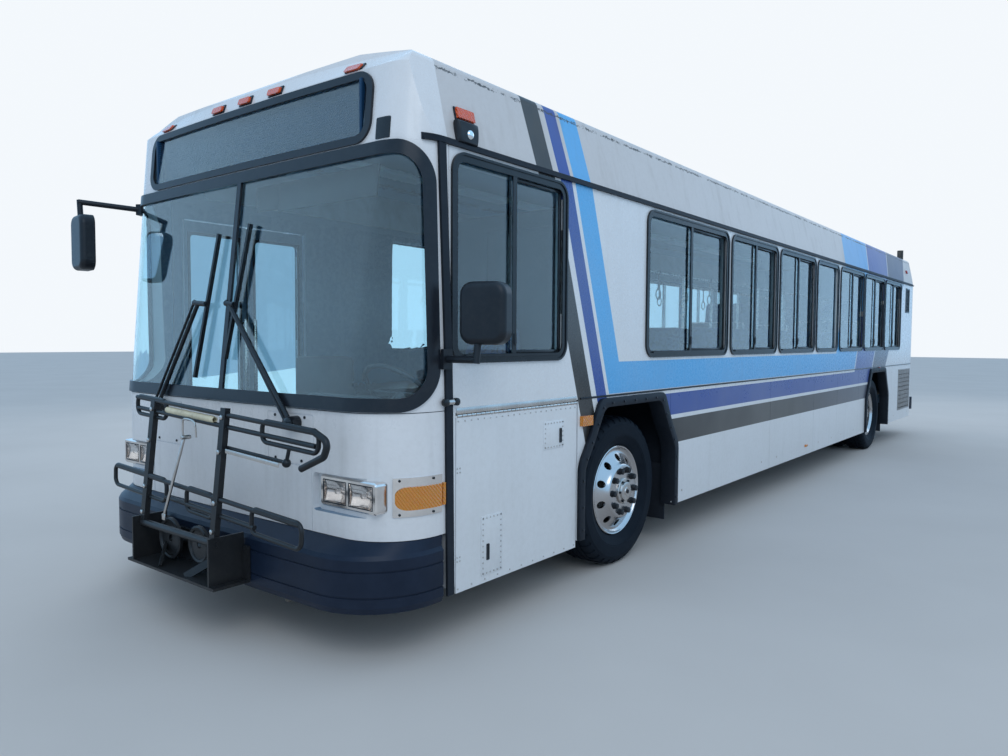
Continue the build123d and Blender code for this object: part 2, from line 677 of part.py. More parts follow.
def make_window_glass():
    """Fixed panes, and pairs of sliding panes that overlap behind the meeting rail."""
    panes = []
    outer = (HALF - PANE_DEPTH, HALF - PANE_DEPTH + PANE_T)
    inner = (outer[0] - 12, outer[1] - 12)
    z0 = WINDOW_Z + CUT_INSET + REST_GAP
    z1 = WINDOW_TOP_Z - CUT_INSET - REST_GAP
    overlap = MULLION_W / 2 - 4
    for right in (False, True):
        for start, length, count in window_spans(right):
            y0 = start + CUT_INSET + REST_GAP
            y1 = start + length - CUT_INSET - REST_GAP
            middle = (y0 + y1) / 2
            if count == 1:
                pane = [block(*outer, y0, y1, z0, z1)]
            else:
                pane = [block(*outer, y0, middle + overlap, z0, z1),
                        block(*inner, middle - overlap, y1, z0, z1)]
            panes += [mirrored(piece) for piece in pane] if right else pane
    return panes


def make_drip_rails():
    """Gutters over the windows that turn round the front corners, and the corners' seam strips."""
    rails = []
    # Gutter section: lower and upper height from the drip line, outer and inner distance off the skin
    section = ((-2, 30, 5, REST_GAP), (-2, 4, 18, REST_GAP), (-2, 14, 18, 13))
    # Seam strip: distance of its front edge before the pillar, and height
    strip_line = ((12, SKIRT_Z - 30), (26, SEAM_Z + 95), (33, WINDOW_Z + 105), (77, DRIP_Z - 3))
    strip_w = 47.0
    rail = None
    for low, high, outer, inner in section:
        turn = nose_shell(DRIP_Z + low, DRIP_Z + high, -outer, -inner)
        turn &= block(HALF / 2, HALF + 50, NOSE_Y + 255, PILLAR_Y, 0, CROWN_Z)
        run = block(HALF + inner, HALF + outer, PILLAR_Y, REAR_CORNER_Y, DRIP_Z + low, DRIP_Z + high)
        piece = turn + run
        rail = piece if rail is None else rail + piece
    points = [(PILLAR_Y - before, z) for before, z in strip_line]
    points += [(PILLAR_Y - before + strip_w, z) for before, z in reversed(strip_line)]
    strip = side_outline(points, HALF + REST_GAP, HALF + GASKET_PROUD)
    rails += [rail, mirrored(rail), strip, mirrored(strip)]
    return rails


def rear_outline(z, inset, front_y):
    """Plan outline of the rear end at a height."""
    half = HALF - inset
    radius = REAR_CORNER_R - inset
    back = REAR_FACE_Y - inset
    bend = radius * (1 - math.sqrt(0.5))
    left = [(half, front_y, z), (half, back - radius, z), (half - bend, back - bend, z),
            (half - radius, back, z)]
    right = [(-x, y, h) for x, y, h in left]
    return Wire([
        Edge.make_line(left[0], left[1]),
        Edge.make_three_point_arc(left[1], left[2], left[3]),
        Edge.make_line(left[3], right[3]),
        Edge.make_three_point_arc(right[3], right[2], right[1]),
        Edge.make_line(right[1], right[0]),
        Edge.make_line(right[0], left[0]),
    ])


def make_rear_cap():
    """Moulded rear end with round corners, open at the engine door and the upper grille."""
    start = REAR_CORNER_Y
    tall = CROWN_Z + 100
    outer = extrude(Face(rear_outline(SKIRT_Z + 60, 0, start - 100)), tall, dir=(0, 0, 1))
    inner = extrude(Face(rear_outline(SKIRT_Z + 50, WALL, start - 200)), tall, dir=(0, 0, 1))
    body = roof_solid(start, REAR_FACE_Y, 0) + block(-HALF, HALF, start, REAR_FACE_Y, 0, DRIP_Z)
    half = HALF - WALL
    hollow = roof_solid(start - 50, REAR_FACE_Y, ROOF_THICKNESS)
    hollow += block(-half, half, start - 50, REAR_FACE_Y, 0, DRIP_Z)
    cap = (outer & body) - (inner & hollow)
    gap = MOVE_GAP
    cap -= block(-ENGINE_DOOR_HALF - gap, ENGINE_DOOR_HALF + gap, start, REAR_FACE_Y + 1,
                 ENGINE_DOOR_Z - gap, ENGINE_DOOR_TOP + gap)
    vent_half, low, high, depth = REAR_VENT
    cap -= block(-vent_half, vent_half, REAR_FACE_Y - depth, REAR_FACE_Y + 1, low, high)
    return cap


def louvre_panel(y0, y1, z0, z1, count):
    """A side grille that fills an opening: a rim with slanted blades across it."""
    rim = 22.0
    x0 = HALF - SKIRT_THICKNESS
    x1 = HALF
    y0 += REST_GAP
    y1 -= REST_GAP
    z0 += REST_GAP
    z1 -= REST_GAP
    panel = block(x0, x1, y0, y1, z0, z1) - block(x0 - 1, x1 + 1, y0 + rim, y1 - rim, z0 + rim, z1 - rim)
    pitch = (z1 - z0 - 2 * rim) / count
    for index in range(count):
        z = z0 + rim + (index + 0.5) * pitch
        blade = [(x0, z + 0.42 * pitch), (x1, z - 0.2 * pitch), (x1, z - 0.42 * pitch), (x0, z + 0.2 * pitch)]
        wire = Wire.make_polygon([(x, y0 + rim - 2, h) for x, h in blade], close=True)
        panel += extrude(Face(wire), y1 - y0 - 2 * rim + 4, dir=(0, 1, 0))
    return panel


def rear_grille():
    """Shallow tray with level blades, set into the rear cap."""
    rim = 26.0
    blades = 6
    blade_half = 12.0
    half, low, high, depth = REAR_VENT
    y0 = REAR_FACE_Y - depth + REST_GAP
    y1 = REAR_FACE_Y + 6
    grille = block(-half + REST_GAP, half - REST_GAP, y0, y1, low + REST_GAP, high - REST_GAP)
    grille -= block(-half + rim, half - rim, y0 + 6, y1 + 1, low + rim, high - rim)
    for index in range(blades):
        z = low + rim + (index + 0.5) * (high - low - 2 * rim) / blades
        grille += block(-half + rim - 1, half - rim + 1, y0 + 4, y1 - 4, z - blade_half, z + blade_half)
    return grille


def make_vent_grilles():
    x0, x1, z0, z1 = SIGN_VENT
    small = through_front(x0, x1, z0, z1, 6) & nose_shell(z0 - 5, z1 + 5, -4, -REST_GAP)
    return [louvre_panel(*SIDE_VENT, 9), louvre_panel(*SLOT_VENT, 6), rear_grille(), small]


def bumper_outline(z, inset, back_y=BUMPER_END_Y):
    """Plan outline of the front bumper at a height, drawn in by an inset."""
    return plan_outline(z, BUMPER_HALF - inset, BUMPER_FRONT_Y + inset, BUMPER_BOW, BUMPER_R - inset, back_y)


def make_front_bumper():
    """Moulded bumper: round corners, two grooves and a broad top that slopes up to the mask."""
    low = BUMPER_Z
    shoulder = BUMPER_SHOULDER_Z
    behind = BUMPER_END_Y + 10
    top = nose_outline(MASK_Z - 3, -3, BUMPER_END_Y)
    bar = Solid.make_loft([bumper_outline(low, 12), bumper_outline(low + 30, 0)], ruled=True)
    bar = bar + extrude(Face(bumper_outline(low + 30, 0)), shoulder - low - 30, dir=(0, 0, 1))
    bar = bar + Solid.make_loft([bumper_outline(shoulder, 0), bumper_outline(shoulder + 20, 11)], ruled=True)
    bar = bar + Solid.make_loft([bumper_outline(shoulder + 20, 11), top], ruled=True)
    bar = bar - extrude(Face(bumper_outline(low - 1, BUMPER_WALL, behind)), MASK_Z, dir=(0, 0, 1))
    for z in BUMPER_GROOVES:
        ring = extrude(Face(bumper_outline(z, -5)), 9, dir=(0, 0, 1))
        bar = bar - (ring - extrude(Face(bumper_outline(z - 1, 5, behind)), 11, dir=(0, 0, 1)))
    return bar


def make_rear_bumper():
    """Rear bumper, chamfered at its ends and hollow from below, with two grooves."""
    low = 400.0
    high = 600.0
    bar = block(-HALF, HALF, REAR_FACE_Y + REST_GAP, REAR_BUMPER_Y, low, high)
    bar = chamfer(bar.edges().filter_by(Axis.Z).group_by(Axis.Y)[-1], 60)
    bar -= block(-HALF + 90, HALF - 90, REAR_FACE_Y, REAR_BUMPER_Y - 60, low - 10, high - 40)
    for z in (low + 60, low + 130):
        bar -= block(-HALF - 1, HALF + 1, REAR_BUMPER_Y - 8, REAR_BUMPER_Y + 1, z - 5, z + 5)
    return bar


def make_red_lamps():
    """Round tail lamps in a column at each rear corner, and the top markers."""
    column_x = HALF - 245
    radius = 52.0
    face = REAR_FACE_Y + REST_GAP
    lamps = [strut((side * column_x, face, z), (side * column_x, REAR_FACE_Y + 22, z), radius)
             for side in (1, -1) for z in (860.0, 1010.0, 1160.0, 1310.0)]
    lamps += [block(x - 50, x + 50, face, REAR_FACE_Y + 20, CROWN_Z - 145, CROWN_Z - 111) for x in MARKERS]
    return lamps


def mirror_head(x, y, z, width, height, turn):
    """Mirror shell with a rounded back and a shallow pocket for its glass."""
    seen = Plane(origin=(0, MIRROR_DEPTH / 2, 0), x_dir=(1, 0, 0), z_dir=(0, -1, 0))
    head = extrude(seen * RectangleRounded(width, height, MIRROR_R), MIRROR_DEPTH)
    head = fillet(head.faces().sort_by(Axis.Y)[0].edges(), 30)
    rim = 11.0
    head -= extrude(seen * RectangleRounded(width - 2 * rim, height - 2 * rim, MIRROR_R - rim), 5)
    return Pos(x, y, z) * Rot(0, 0, turn) * head


def make_mirrors():
    """Left and right mirrors on arms from the front corners."""
    x, y, z = LEFT_MIRROR[:3]
    low = SEAM_Z + 263
    reach = x - 25
    y0 = PILLAR_Y - 34
    arm = strut((HALF + 20, y0, low), (reach, y0, low), MIRROR_ARM_R)
    arm = arm + strut((reach, y0, low - MIRROR_ARM_R), (reach, y0 + 20, z - 60), MIRROR_ARM_R)
    foot = block(HALF + GASKET_PROUD + REST_GAP, HALF + 32, y0 - 32, y0 + 32, low - 48, low + 48)
    left = foot + arm + mirror_head(*LEFT_MIRROR)
    x, y, z = RIGHT_MIRROR[:3]
    high = SHIELD_TOP_Z - 23
    arm = strut((-HALF + 33, NOSE_Y + 215, high), (x - 5, y - 20, high + 20), MIRROR_ARM_R)
    arm = arm + strut((x - 5, y - 12, high + 33), (x, y - 6, z + 70), MIRROR_ARM_R)
    foot = Pos(-HALF + 25, NOSE_Y + 210, high) * Rot(0, 0, 30) * Box(40, 60, 70)
    skin = nose_solid(high - 150, high + 100, -GASKET_PROUD - 2 * REST_GAP, 0)
    right = (foot + arm - skin) + mirror_head(*RIGHT_MIRROR)
    return [left, right]


def shield_point(x, z, out):
    """A point off the windshield's face."""
    face_y, corner, bow = nose_size(z)
    return (x, face_y + bow * (x / (HALF - corner)) ** 2 - out, z)


def make_wipers():
    """Two wipers of parallel arm and rod with their blades, parked against the glass."""
    wipers = []
    for px, pz, ex, ez, fx, fz, tx, tz in WIPERS:
        pivot = strut(shield_point(px, pz, 0.9), shield_point(px, pz, 52), 34)
        arm = strut(shield_point(px, pz, 40), shield_point(ex, ez, 40), 12)
        rod = strut(shield_point(px - 46, pz + 10, 40), shield_point(ex - 34, ez + 24, 40), 8)
        link = strut(shield_point(px - 46, pz + 10, 40), shield_point(px, pz, 40), 15)
        blade_x = fx + (ez - fz) / (tz - fz) * (tx - fx)
        knot = strut(shield_point(blade_x, ez, 36), shield_point(ex - 40, ez + 10, 40), 15)
        blade = flat_bar(shield_point(fx, fz, 26), shield_point(tx, tz, 26), 16, 22)
        wipers.append(pivot + arm + rod + link + knot + blade)
    return wipers


def make_floor():
    """Low floor with its wheel cut-outs, the two steps and the raised rear floor."""
    half = HALF - WALL - REST_GAP
    under = FLOOR_Z - FLOOR_T
    low = block(-half, half, BUMPER_END_Y + REST_GAP, STEP_Y, under, FLOOR_Z)
    low += block(-TOE_HALF, TOE_HALF, NOSE_Y + 130, BUMPER_END_Y + 10, under, FLOOR_Z)
    for side in (1, -1):
        x0, x1 = across(side, WHEELHOUSE_X, half + 10)
        low -= block(x0, x1, ARCH_MIDDLE - WHEELHOUSE_RUN, ARCH_MIDDLE + WHEELHOUSE_RUN, 0, FLOOR_Z + 10)
    low -= block(HALF - BATTERY_DEPTH - 30, half + 10, BATTERY_DOOR[0] - 40, ARCH_MIDDLE - WHEELHOUSE_RUN,
                 0, FLOOR_Z + 10)
    tread = FLOOR_Z + REAR_RISE / 2
    back = STEP_Y + STEP_RUN
    sheet = 25.0
    step = block(-half, half, STEP_Y, back, tread - FLOOR_T, tread)
    step += block(-half, half, STEP_Y, STEP_Y + sheet, under, tread - 30)
    riser = block(-half, half, back, back + sheet, tread - FLOOR_T, REAR_FLOOR_Z)
    rear = block(-half, half, back, FIREWALL_Y, REAR_FLOOR_Z - FLOOR_T, REAR_FLOOR_Z)
    middle = WHEELBASE + ARCH_MIDDLE
    for side in (1, -1):
        x0, x1 = across(side, REAR_WHEELHOUSE_X, half + 10)
        rear -= block(x0, x1, middle - WHEELHOUSE_RUN, middle + WHEELHOUSE_RUN, 0, REAR_FLOOR_Z + 10)
    wall = block(-half, half, FIREWALL_Y, FIREWALL_Y + 40, REAR_FLOOR_Z - FLOOR_T, SHELF_Z)
    shelf = block(-half, half, FIREWALL_Y, REAR_FACE_Y - WALL - REST_GAP - 90, SHELF_Z, SHELF_Z + 40)
    return low + step + riser + rear + wall + shelf


def make_wheelhouses():
    """Sheet boxes over the wheels, open below and outwards."""
    houses = []
    half = HALF - WALL - REST_GAP
    t = WHEELHOUSE_T
    # Middle of the arch, inner x, underside of the floor beside it
    for middle, inner_x, under in ((ARCH_MIDDLE, WHEELHOUSE_X, FLOOR_Z - FLOOR_T),
                                   (WHEELBASE + ARCH_MIDDLE, REAR_WHEELHOUSE_X, REAR_FLOOR_Z - FLOOR_T)):
        x0 = inner_x + REST_GAP
        y0 = middle - WHEELHOUSE_RUN + REST_GAP
        y1 = middle + WHEELHOUSE_RUN - REST_GAP
        house = block(x0, half, y0, y1, under, WHEELHOUSE_TOP)
        house -= block(x0 + t, half + 1, y0 + t, y1 - t, 0, WHEELHOUSE_TOP - t)
        houses += [house, mirrored(house)]
    return houses


def make_driver_platform():
    """Raised driver's floor over the battery compartment, with its step."""
    half = HALF - WALL - REST_GAP
    x0 = HALF - BATTERY_DEPTH - 260
    y0 = PILLAR_Y + 60
    y1 = ARCH_MIDDLE - WHEELHOUSE_RUN - REST_GAP
    top = block(x0, half, y0, y1, PLATFORM_Z, PLATFORM_Z + PLATFORM_T)
    riser = block(x0, x0 + 25, y0, y1, FLOOR_Z + REST_GAP, PLATFORM_Z)
    return top + riser


def make_battery_box():
    """Compartment behind the battery door: floor, back and ends."""
    t = BATTERY_BOX_T
    x0 = HALF - BATTERY_DEPTH
    y0 = BATTERY_DOOR[0] + 15
    y1 = ARCH_MIDDLE - WHEELHOUSE_RUN - REST_GAP
    z0 = BATTERY_DOOR_Z + 20
    box = block(x0, HALF - WALL, y0, y1, z0, PLATFORM_Z - REST_GAP)
    box -= block(x0 + t, HALF, y0 + t, y1 - t, z0 + t, PLATFORM_Z + 10)
    return box


def make_batteries():
    """Two batteries on the compartment floor, each with a cover and posts."""
    z = BATTERY_DOOR_Z + 20 + BATTERY_BOX_T + REST_GAP
    x = HALF - BATTERY_DEPTH + 190
    width = 270.0
    half_length = 175.0
    height = 215.0
    pieces = []
    for y in (BATTERY_DOOR[0] + 262, BATTERY_DOOR[0] + 702):
        case = block(x, x + width, y - half_length, y + half_length, z, z + height)
        case += block(x + 10, x + width - 10, y - half_length + 10, y + half_length - 10,
                      z + height, z + height + 20)
        for post in (-110, 110):
            case += strut((x + 60, y + post, z + height + 15), (x + 60, y + post, z + height + 40), 12)
        pieces.append(case)
    return pieces


def make_underframe():
    """Rails, cross members and outriggers under the floor, with a tow eye plate on each rail."""
    z1 = FLOOR_Z - FLOOR_T - REST_GAP
    z0 = z1 - 60
    inner = RAIL_X - RAIL_W / 2
    outer = RAIL_X + RAIL_W / 2
    arm = HALF - SKIRT_THICKNESS - 60
    start = PILLAR_Y - 154
    pieces = [block(*across(side, inner, outer), start, STEP_Y - 60, z0, z1) for side in (1, -1)]
    pitch = (STEP_Y - 150 - 1700) / 4
    stations = [start + 50, -800, 800] + [1700 + pitch * index for index in range(5)]
    for y in stations:
        y0 = y - CROSS_W / 2
        y1 = y + CROSS_W / 2
        pieces.append(block(-inner + REST_GAP, inner - REST_GAP, y0, y1, z0, z1))
        if y > 1000:
            pieces += [block(*across(side, outer + REST_GAP, arm), y0, y1, z0, z1) for side in (1, -1)]
    x0 = TOW_PLATE_X
    x1 = x0 + 25
    eye_y = NOSE_Y + 85
    for side in (1, -1):
        plate = block(*across(side, x0, x1), eye_y - 55, start + 90, TOW_EYE_Z - 57, z1)
        plate -= strut((side * (x0 - 20), eye_y, TOW_EYE_Z), (side * (x1 + 20), eye_y, TOW_EYE_Z), TOW_EYE_R)
        plate += block(*across(side, outer + REST_GAP, x0 + 5), start + 10, start + 90, z0, z1)
        pieces.append(plate)
    return pieces


def make_rear_frame():
    """Rails of the raised rear, the engine cradle and the rear tow eye plates."""
    z1 = REAR_FLOOR_Z - FLOOR_T - REST_GAP
    inner = RAIL_X - RAIL_W / 2 - 10
    outer = RAIL_X + RAIL_W / 2
    cradle_z = 470.0
    cradle_top = 560.0
    cradle_x = TOW_PLATE_X - 40
    back = REAR_FACE_Y - WALL
    start = STEP_Y + STEP_RUN + 30
    pieces = [block(*across(side, inner, outer), start, FIREWALL_Y, z1 - 110, z1) for side in (1, -1)]
    for y in (start + 50, WHEELBASE - 807, WHEELBASE + 793, FIREWALL_Y - 40):
        y0 = y - CROSS_W / 2
        pieces.append(block(-inner + REST_GAP, inner - REST_GAP, y0, y0 + CROSS_W, z1 - 90, z1))
    plate_x = TOW_PLATE_X + 25
    eye_y = REAR_FACE_Y + 10
    for side in (1, -1):
        pieces.append(block(*across(side, cradle_x, plate_x - REST_GAP), FIREWALL_Y - 80, back - 10,
                            cradle_z, cradle_top))
        pieces.append(block(*across(side, outer + REST_GAP, plate_x), FIREWALL_Y - 80, FIREWALL_Y - 10,
                            cradle_top + REST_GAP, z1))
        x0, x1 = across(side, plate_x, plate_x + 25)
        plate = block(x0, x1, REAR_FACE_Y - 300, back - 1, TOW_EYE_Z + 22, cradle_top)
        plate += block(x0, x1, back - 2, REAR_FACE_Y + 60, TOW_EYE_Z + 22, TOW_EYE_Z + 128)
        eye = strut((x0 - 20, eye_y, TOW_EYE_Z + 75), (x1 + 20, eye_y, TOW_EYE_Z + 75), TOW_EYE_R)
        pieces.append(plate - eye)
    pieces.append(block(-cradle_x + REST_GAP, cradle_x - REST_GAP, REAR_FACE_Y - 330, REAR_FACE_Y - 270,
                        cradle_z, cradle_top))
    return pieces


def make_powertrain():
    """Engine and gearbox as one plain block on the cradle."""
    half = TOW_PLATE_X - 40 - REST_GAP
    return block(-half, half, FIREWALL_Y + 150, REAR_FACE_Y - 340, 480, 1420)


def make_front_axle():
    """Dropped beam axle with a spring seat under each rail and a kingpin eye at each end."""
    bottom = HUB_Z - 350
    top = HUB_Z - 260
    drop_x = 560.0
    end_x = KINGPIN_X - 90
    beam = block(-drop_x, drop_x, -55, 55, bottom, top)
    for side in (1, -1):
        rise = [(side * drop_x, top), (side * drop_x, bottom),
                (side * end_x, HUB_Z - 45), (side * end_x, HUB_Z + 45)]
        wire = Wire.make_polygon([(x, -45, z) for x, z in rise], close=True)
        beam += extrude(Face(wire), 90, dir=(0, 1, 0))
        beam += block(*across(side, end_x - 5, KINGPIN_X - 20), -40, 40, HUB_Z - 45, HUB_Z + 45)
        beam += strut((side * KINGPIN_X, 0, HUB_Z - 70), (side * KINGPIN_X, 0, HUB_Z + 70), 42)
        seat_top = FLOOR_Z - FLOOR_T - 60 - 2 * REST_GAP
        beam += strut((side * RAIL_X, 0, top - 5), (side * RAIL_X, 0, seat_top), 75)
    for side in (1, -1):
        x = side * KINGPIN_X
        beam -= strut((x, 0, HUB_Z - 80), (x, 0, HUB_Z + 80), KINGPIN_R + 1)
    return beam


def make_knuckle(side):
    """Steering knuckle: two ears on the kingpin, a web, the spindle and its steering arm."""
    x = side * KINGPIN_X
    knuckle = strut((x, 0, HUB_Z - 110), (x, 0, HUB_Z + 110), KINGPIN_R)
    for z in (HUB_Z - 106, HUB_Z + 76):
        knuckle += strut((x, 0, z), (x, 0, z + 30), 48)
        knuckle += block(*across(side, KINGPIN_X, KINGPIN_X + 75), -45, 45, z, z + 30)
    knuckle += block(*across(side, KINGPIN_X + 50, KINGPIN_X + 80), -60, 60, HUB_Z - 106, HUB_Z + 106)
    spindle = (side * (KINGPIN_X + 70), 0, HUB_Z), (side * (WHEEL_X + 92), 0, HUB_Z)
    knuckle += strut(*spindle, HUB_BORE - REST_GAP)
    arm = flat_bar((x, 0, HUB_Z - 120), (side * (KINGPIN_X - 60), 210, HUB_Z - 120), 34, 28, (0, 0, 1))
    return knuckle + arm


def make_rear_axle():
    """Rear axle housing with its differential, spring seats and radius arms."""
    y = WHEELBASE
    housing = strut((-REAR_STUB_X, y, HUB_Z), (REAR_STUB_X, y, HUB_Z), 62)
    bulb = strut((-150, y, HUB_Z), (150, y, HUB_Z), 185)
    housing = housing + chamfer(bulb.edges().filter_by(GeomType.CIRCLE), 70)
    x = RAIL_X - 5
    low = HUB_Z - 100
    top = REAR_FLOOR_Z - FLOOR_T - 110 - 2 * REST_GAP
    for side in (1, -1):
        stub = (side * REAR_STUB_X, y, HUB_Z), (side * (WHEEL_X + 60), y, HUB_Z)
        housing += strut(*stub, REAR_HUB_BORE - REST_GAP)
        for back in (-1, 1):
            spring_y = y + back * 330
            y0, y1 = sorted((y, spring_y + back * 60))
            housing += block(*across(side, x - 75, x + 75), y0, y1, low, low + 40)
            housing += strut((side * x, spring_y, low + 35), (side * x, spring_y, top), 60)
    return housing


def revolved(points, x, y):
    """A closed outline of (distance along the axle, radius) turned about the wheel's axis."""
    wire = Wire.make_polygon([(x + offset, y, HUB_Z + radius) for offset, radius in points], close=True)
    return revolve(Face(wire), Axis((x, y, HUB_Z), (1, 0, 0)))


def make_tyre(x, y):
    outer = [(share * TYRE_W, radius) for radius, share in TYRE_SECTION]
    inner = [(-share * TYRE_W, radius) for radius, share in reversed(TYRE_SECTION)]
    return revolved(outer + inner, x, y)


def make_rim(x, y, side, disc_x):
    """Aluminium disc wheel: a barrel with lips and a dished disc with its hand holes."""
    half = TYRE_SECTION[0][1] * TYRE_W - 3
    t = 12.0
    lip = RIM_R - REST_GAP
    barrel = revolved([(-half, lip), (-half, lip - 22), (-half + 30, lip - 42), (half - 30, lip - 42),
                       (half, lip - 22), (half, lip), (half - 8, lip), (half - 36, lip - 30),
                       (-half + 36, lip - 30), (-half + 8, lip)], x, y)
    outer = disc_x * side
    dish = outer - side * 38
    disc = revolved([(outer, 60), (outer, 150), (dish, lip - 38), (dish - side * t, lip - 38),
                     (outer - side * t * 1.6, 150), (outer - side * t * 1.6, 60)], x, y)
    hole_circle = 205.0
    for index in range(HAND_HOLES):
        angle = math.tau * (index + 0.5) / HAND_HOLES
        cy = y + hole_circle * math.cos(angle)
        cz = HUB_Z + hole_circle * math.sin(angle)
        disc -= strut((x + outer - side * 90, cy, cz), (x + outer + side * 40, cy, cz), 27)
    return barrel + disc


def make_hub(x, y, side, disc_x, length, bore):
    """Hub cap with its flange on the disc, bored for the spindle."""
    outer = disc_x * side
    end = outer + side * length
    return revolved([(outer, bore), (outer, 128), (outer + side * 16, 128), (outer + side * 18, 72),
                     (end, 66), (end + side * 8, 50), (end + side * 8, 0), (end - side * 4, 0),
                     (end - side * 4, bore)], x, y)


def make_wheel(y, side, twin):
    """Tyres and rims of one wheel position."""
    x = side * WHEEL_X
    if not twin:
        disc_x = 62
        rim = make_rim(x, y, side, disc_x) + make_hub(x, y, side, disc_x, 92, HUB_BORE)
        return [make_tyre(x, y)], [rim]
    inner_x = side * (WHEEL_X - TWIN_PITCH)
    outer_rim = make_rim(x, y, side, -30)
    inner_rim = make_rim(inner_x, y, side, 78)
    bore = REAR_HUB_BORE
    hub = revolved([(side * -49, bore), (side * -49, 128), (side * -14, 128), (side * -12, 100),
                    (side * 84, 90), (side * 98, 70), (side * 98, 0), (side * 82, 0),
                    (side * 82, bore)], x, y)
    spacer = strut((inner_x + side * 78, y, HUB_Z), (x - side * 48, y, HUB_Z), 120)
    spacer = spacer - strut((inner_x + side * 70, y, HUB_Z), (x, y, HUB_Z), bore + 2)
    return [make_tyre(x, y), make_tyre(inner_x, y)], [outer_rim + hub + spacer + inner_rim]


def make_leaf(y0, y1, hinge_low):
    """One door leaf with a tall window, rounded where it turns on its post."""
    x0 = -HALF + LEAF_INSET
    x1 = x0 + LEAF_T
    radius = LEAF_T / 2
    z0 = DOOR_Z + MOVE_GAP
    z1 = DOOR_TOP_Z - MOVE_GAP
    sill = z0 + 130
    head = z1 - 90
    leaf = block(x0, x1, y0 + (radius if hinge_low else 0), y1 - (0 if hinge_low else radius), z0, z1)
    hinge_y = y0 + radius if hinge_low else y1 - radius
    leaf += strut((x0 + radius, hinge_y, z0), (x0 + radius, hinge_y, z1), radius)
    leaf += strut((x0 + radius, hinge_y, z1 - 5), (x0 + radius, hinge_y, DOOR_TOP_Z - REST_GAP), 10)
    leaf -= block(x0 - 1, x1 + 1, y0 + LEAF_RAIL, y1 - LEAF_RAIL, sill, head)
    pane = block(x0 + 15, x0 + 15 + PANE_T, y0 + LEAF_RAIL + REST_GAP, y1 - LEAF_RAIL - REST_GAP,
                 sill + REST_GAP, head - REST_GAP)
    return leaf, pane


def leaves(opening):
    """Both leaves of a doorway, each with its pane."""
    start, end = opening
    middle = (start + end) / 2
    fore = make_leaf(start + MOVE_GAP, middle - LEAF_GAP / 2, True)
    aft = make_leaf(middle + LEAF_GAP / 2, end - MOVE_GAP, False)
    return fore, aft


def make_battery_door():
    """Lifting door under the driver's window, on a piano hinge along its top."""
    y0 = BATTERY_DOOR[0] + MOVE_GAP
    y1 = BATTERY_DOOR[1] - MOVE_GAP
    x = HALF - PIANO_HINGE_R
    z = BATTERY_DOOR_TOP - 6
    door = block(HALF - LID_T, HALF, y0, y1, BATTERY_DOOR_Z, BATTERY_DOOR_TOP - 12)
    door += block(HALF - 16, HALF, y0, y1, BATTERY_DOOR_TOP - 14, BATTERY_DOOR_TOP - 8)
    knuckle = strut((x, y0, z), (x, y1, z), PIANO_HINGE_R)
    pin = strut((x, BATTERY_DOOR[0] + REST_GAP, z), (x, BATTERY_DOOR[0] + 40, z), 5)
    return door + knuckle + pin


def make_engine_door():
    """Rear engine door on a top hinge, with a field of level louvre slots."""
    y1 = REAR_FACE_Y
    half = ENGINE_DOOR_HALF
    hinge_z = ENGINE_DOOR_TOP - 10
    door = block(-half, half, y1 - LID_T, y1, ENGINE_DOOR_Z, hinge_z)
    door += strut((-half, y1 - 10, hinge_z), (half, y1 - 10, hinge_z), 10)
    reach = half + MOVE_GAP - REST_GAP
    door += strut((-reach, y1 - 10, hinge_z), (reach, y1 - 10, hinge_z), 6)
    slot_half = half - 310
    for row in range(7):
        z = ENGINE_DOOR_Z + 440 + row * 48
        door -= block(-slot_half, slot_half, y1 - LID_T - 1, y1 + 1, z, z + 24)
    return door


def rack_y(z):
    """y of the folded rack's plane at a height."""
    lean = (RACK_TOP_Y - RACK_PIVOT_Y) / (RACK_TOP_Z - RACK_PIVOT_Z)
    return RACK_PIVOT_Y + lean * (z - RACK_PIVOT_Z)


def rack_loop(x0, x1, z0, z1, y):
    """A round bar bent into a closed loop, seen from the front."""
    seen = Plane(origin=((x0 + x1) / 2, y, (z0 + z1) / 2), x_dir=(1, 0, 0), z_dir=(0, -1, 0))
    path = (seen * RectangleRounded(x1 - x0, z1 - z0, RACK_LOOP_BEND)).wire()
    section = Plane(origin=path @ 0, z_dir=path % 0) * Circle(RACK_LOOP_R)
    return sweep(section, path=path)


def make_tray(high, x0, x1, low, x2, x3, loop_height, loops):
    """One wheel tray, folded up: two bars and its loops, sagging to the driver's side."""
    y = rack_y(high)
    tray = strut((x0, y, high), (x1, y, high), RACK_BAR_R)
    tray += strut((x2, y, low), (x3, y, low), RACK_BAR_R)
    for start, end in loops:
        tray += rack_loop(start, end, high - loop_height + 9, high + 9, y)
    return Pos(0, 0, high) * Rot(0, RACK_SAG, 0) * Pos(0, 0, -high) * tray


def make_hook():
    """Bent support arm at the upper tray's end, with the ball foot beside it."""
    y = rack_y(RACK_TRAYS[0][0])
    points = [(1040, y, 1155), (1145, y, 1120), (1118, y, 1052), (961, y, 975)]
    path = FilletPolyline(*points, radius=34)
    hook = sweep(Plane(origin=path @ 0, z_dir=path % 0) * Circle(16), path=path)
    hook += strut((872, y, 1062), (852, y, 988), 9)
    hook += Pos(852, y, 984) * Sphere(21)
    hook += strut((RACK_POST_X, y, 988), (852, y, 986), 9)
    high = RACK_TRAYS[0][0]
    return Pos(0, 0, high) * Rot(0, RACK_SAG, 0) * Pos(0, 0, -high) * hook


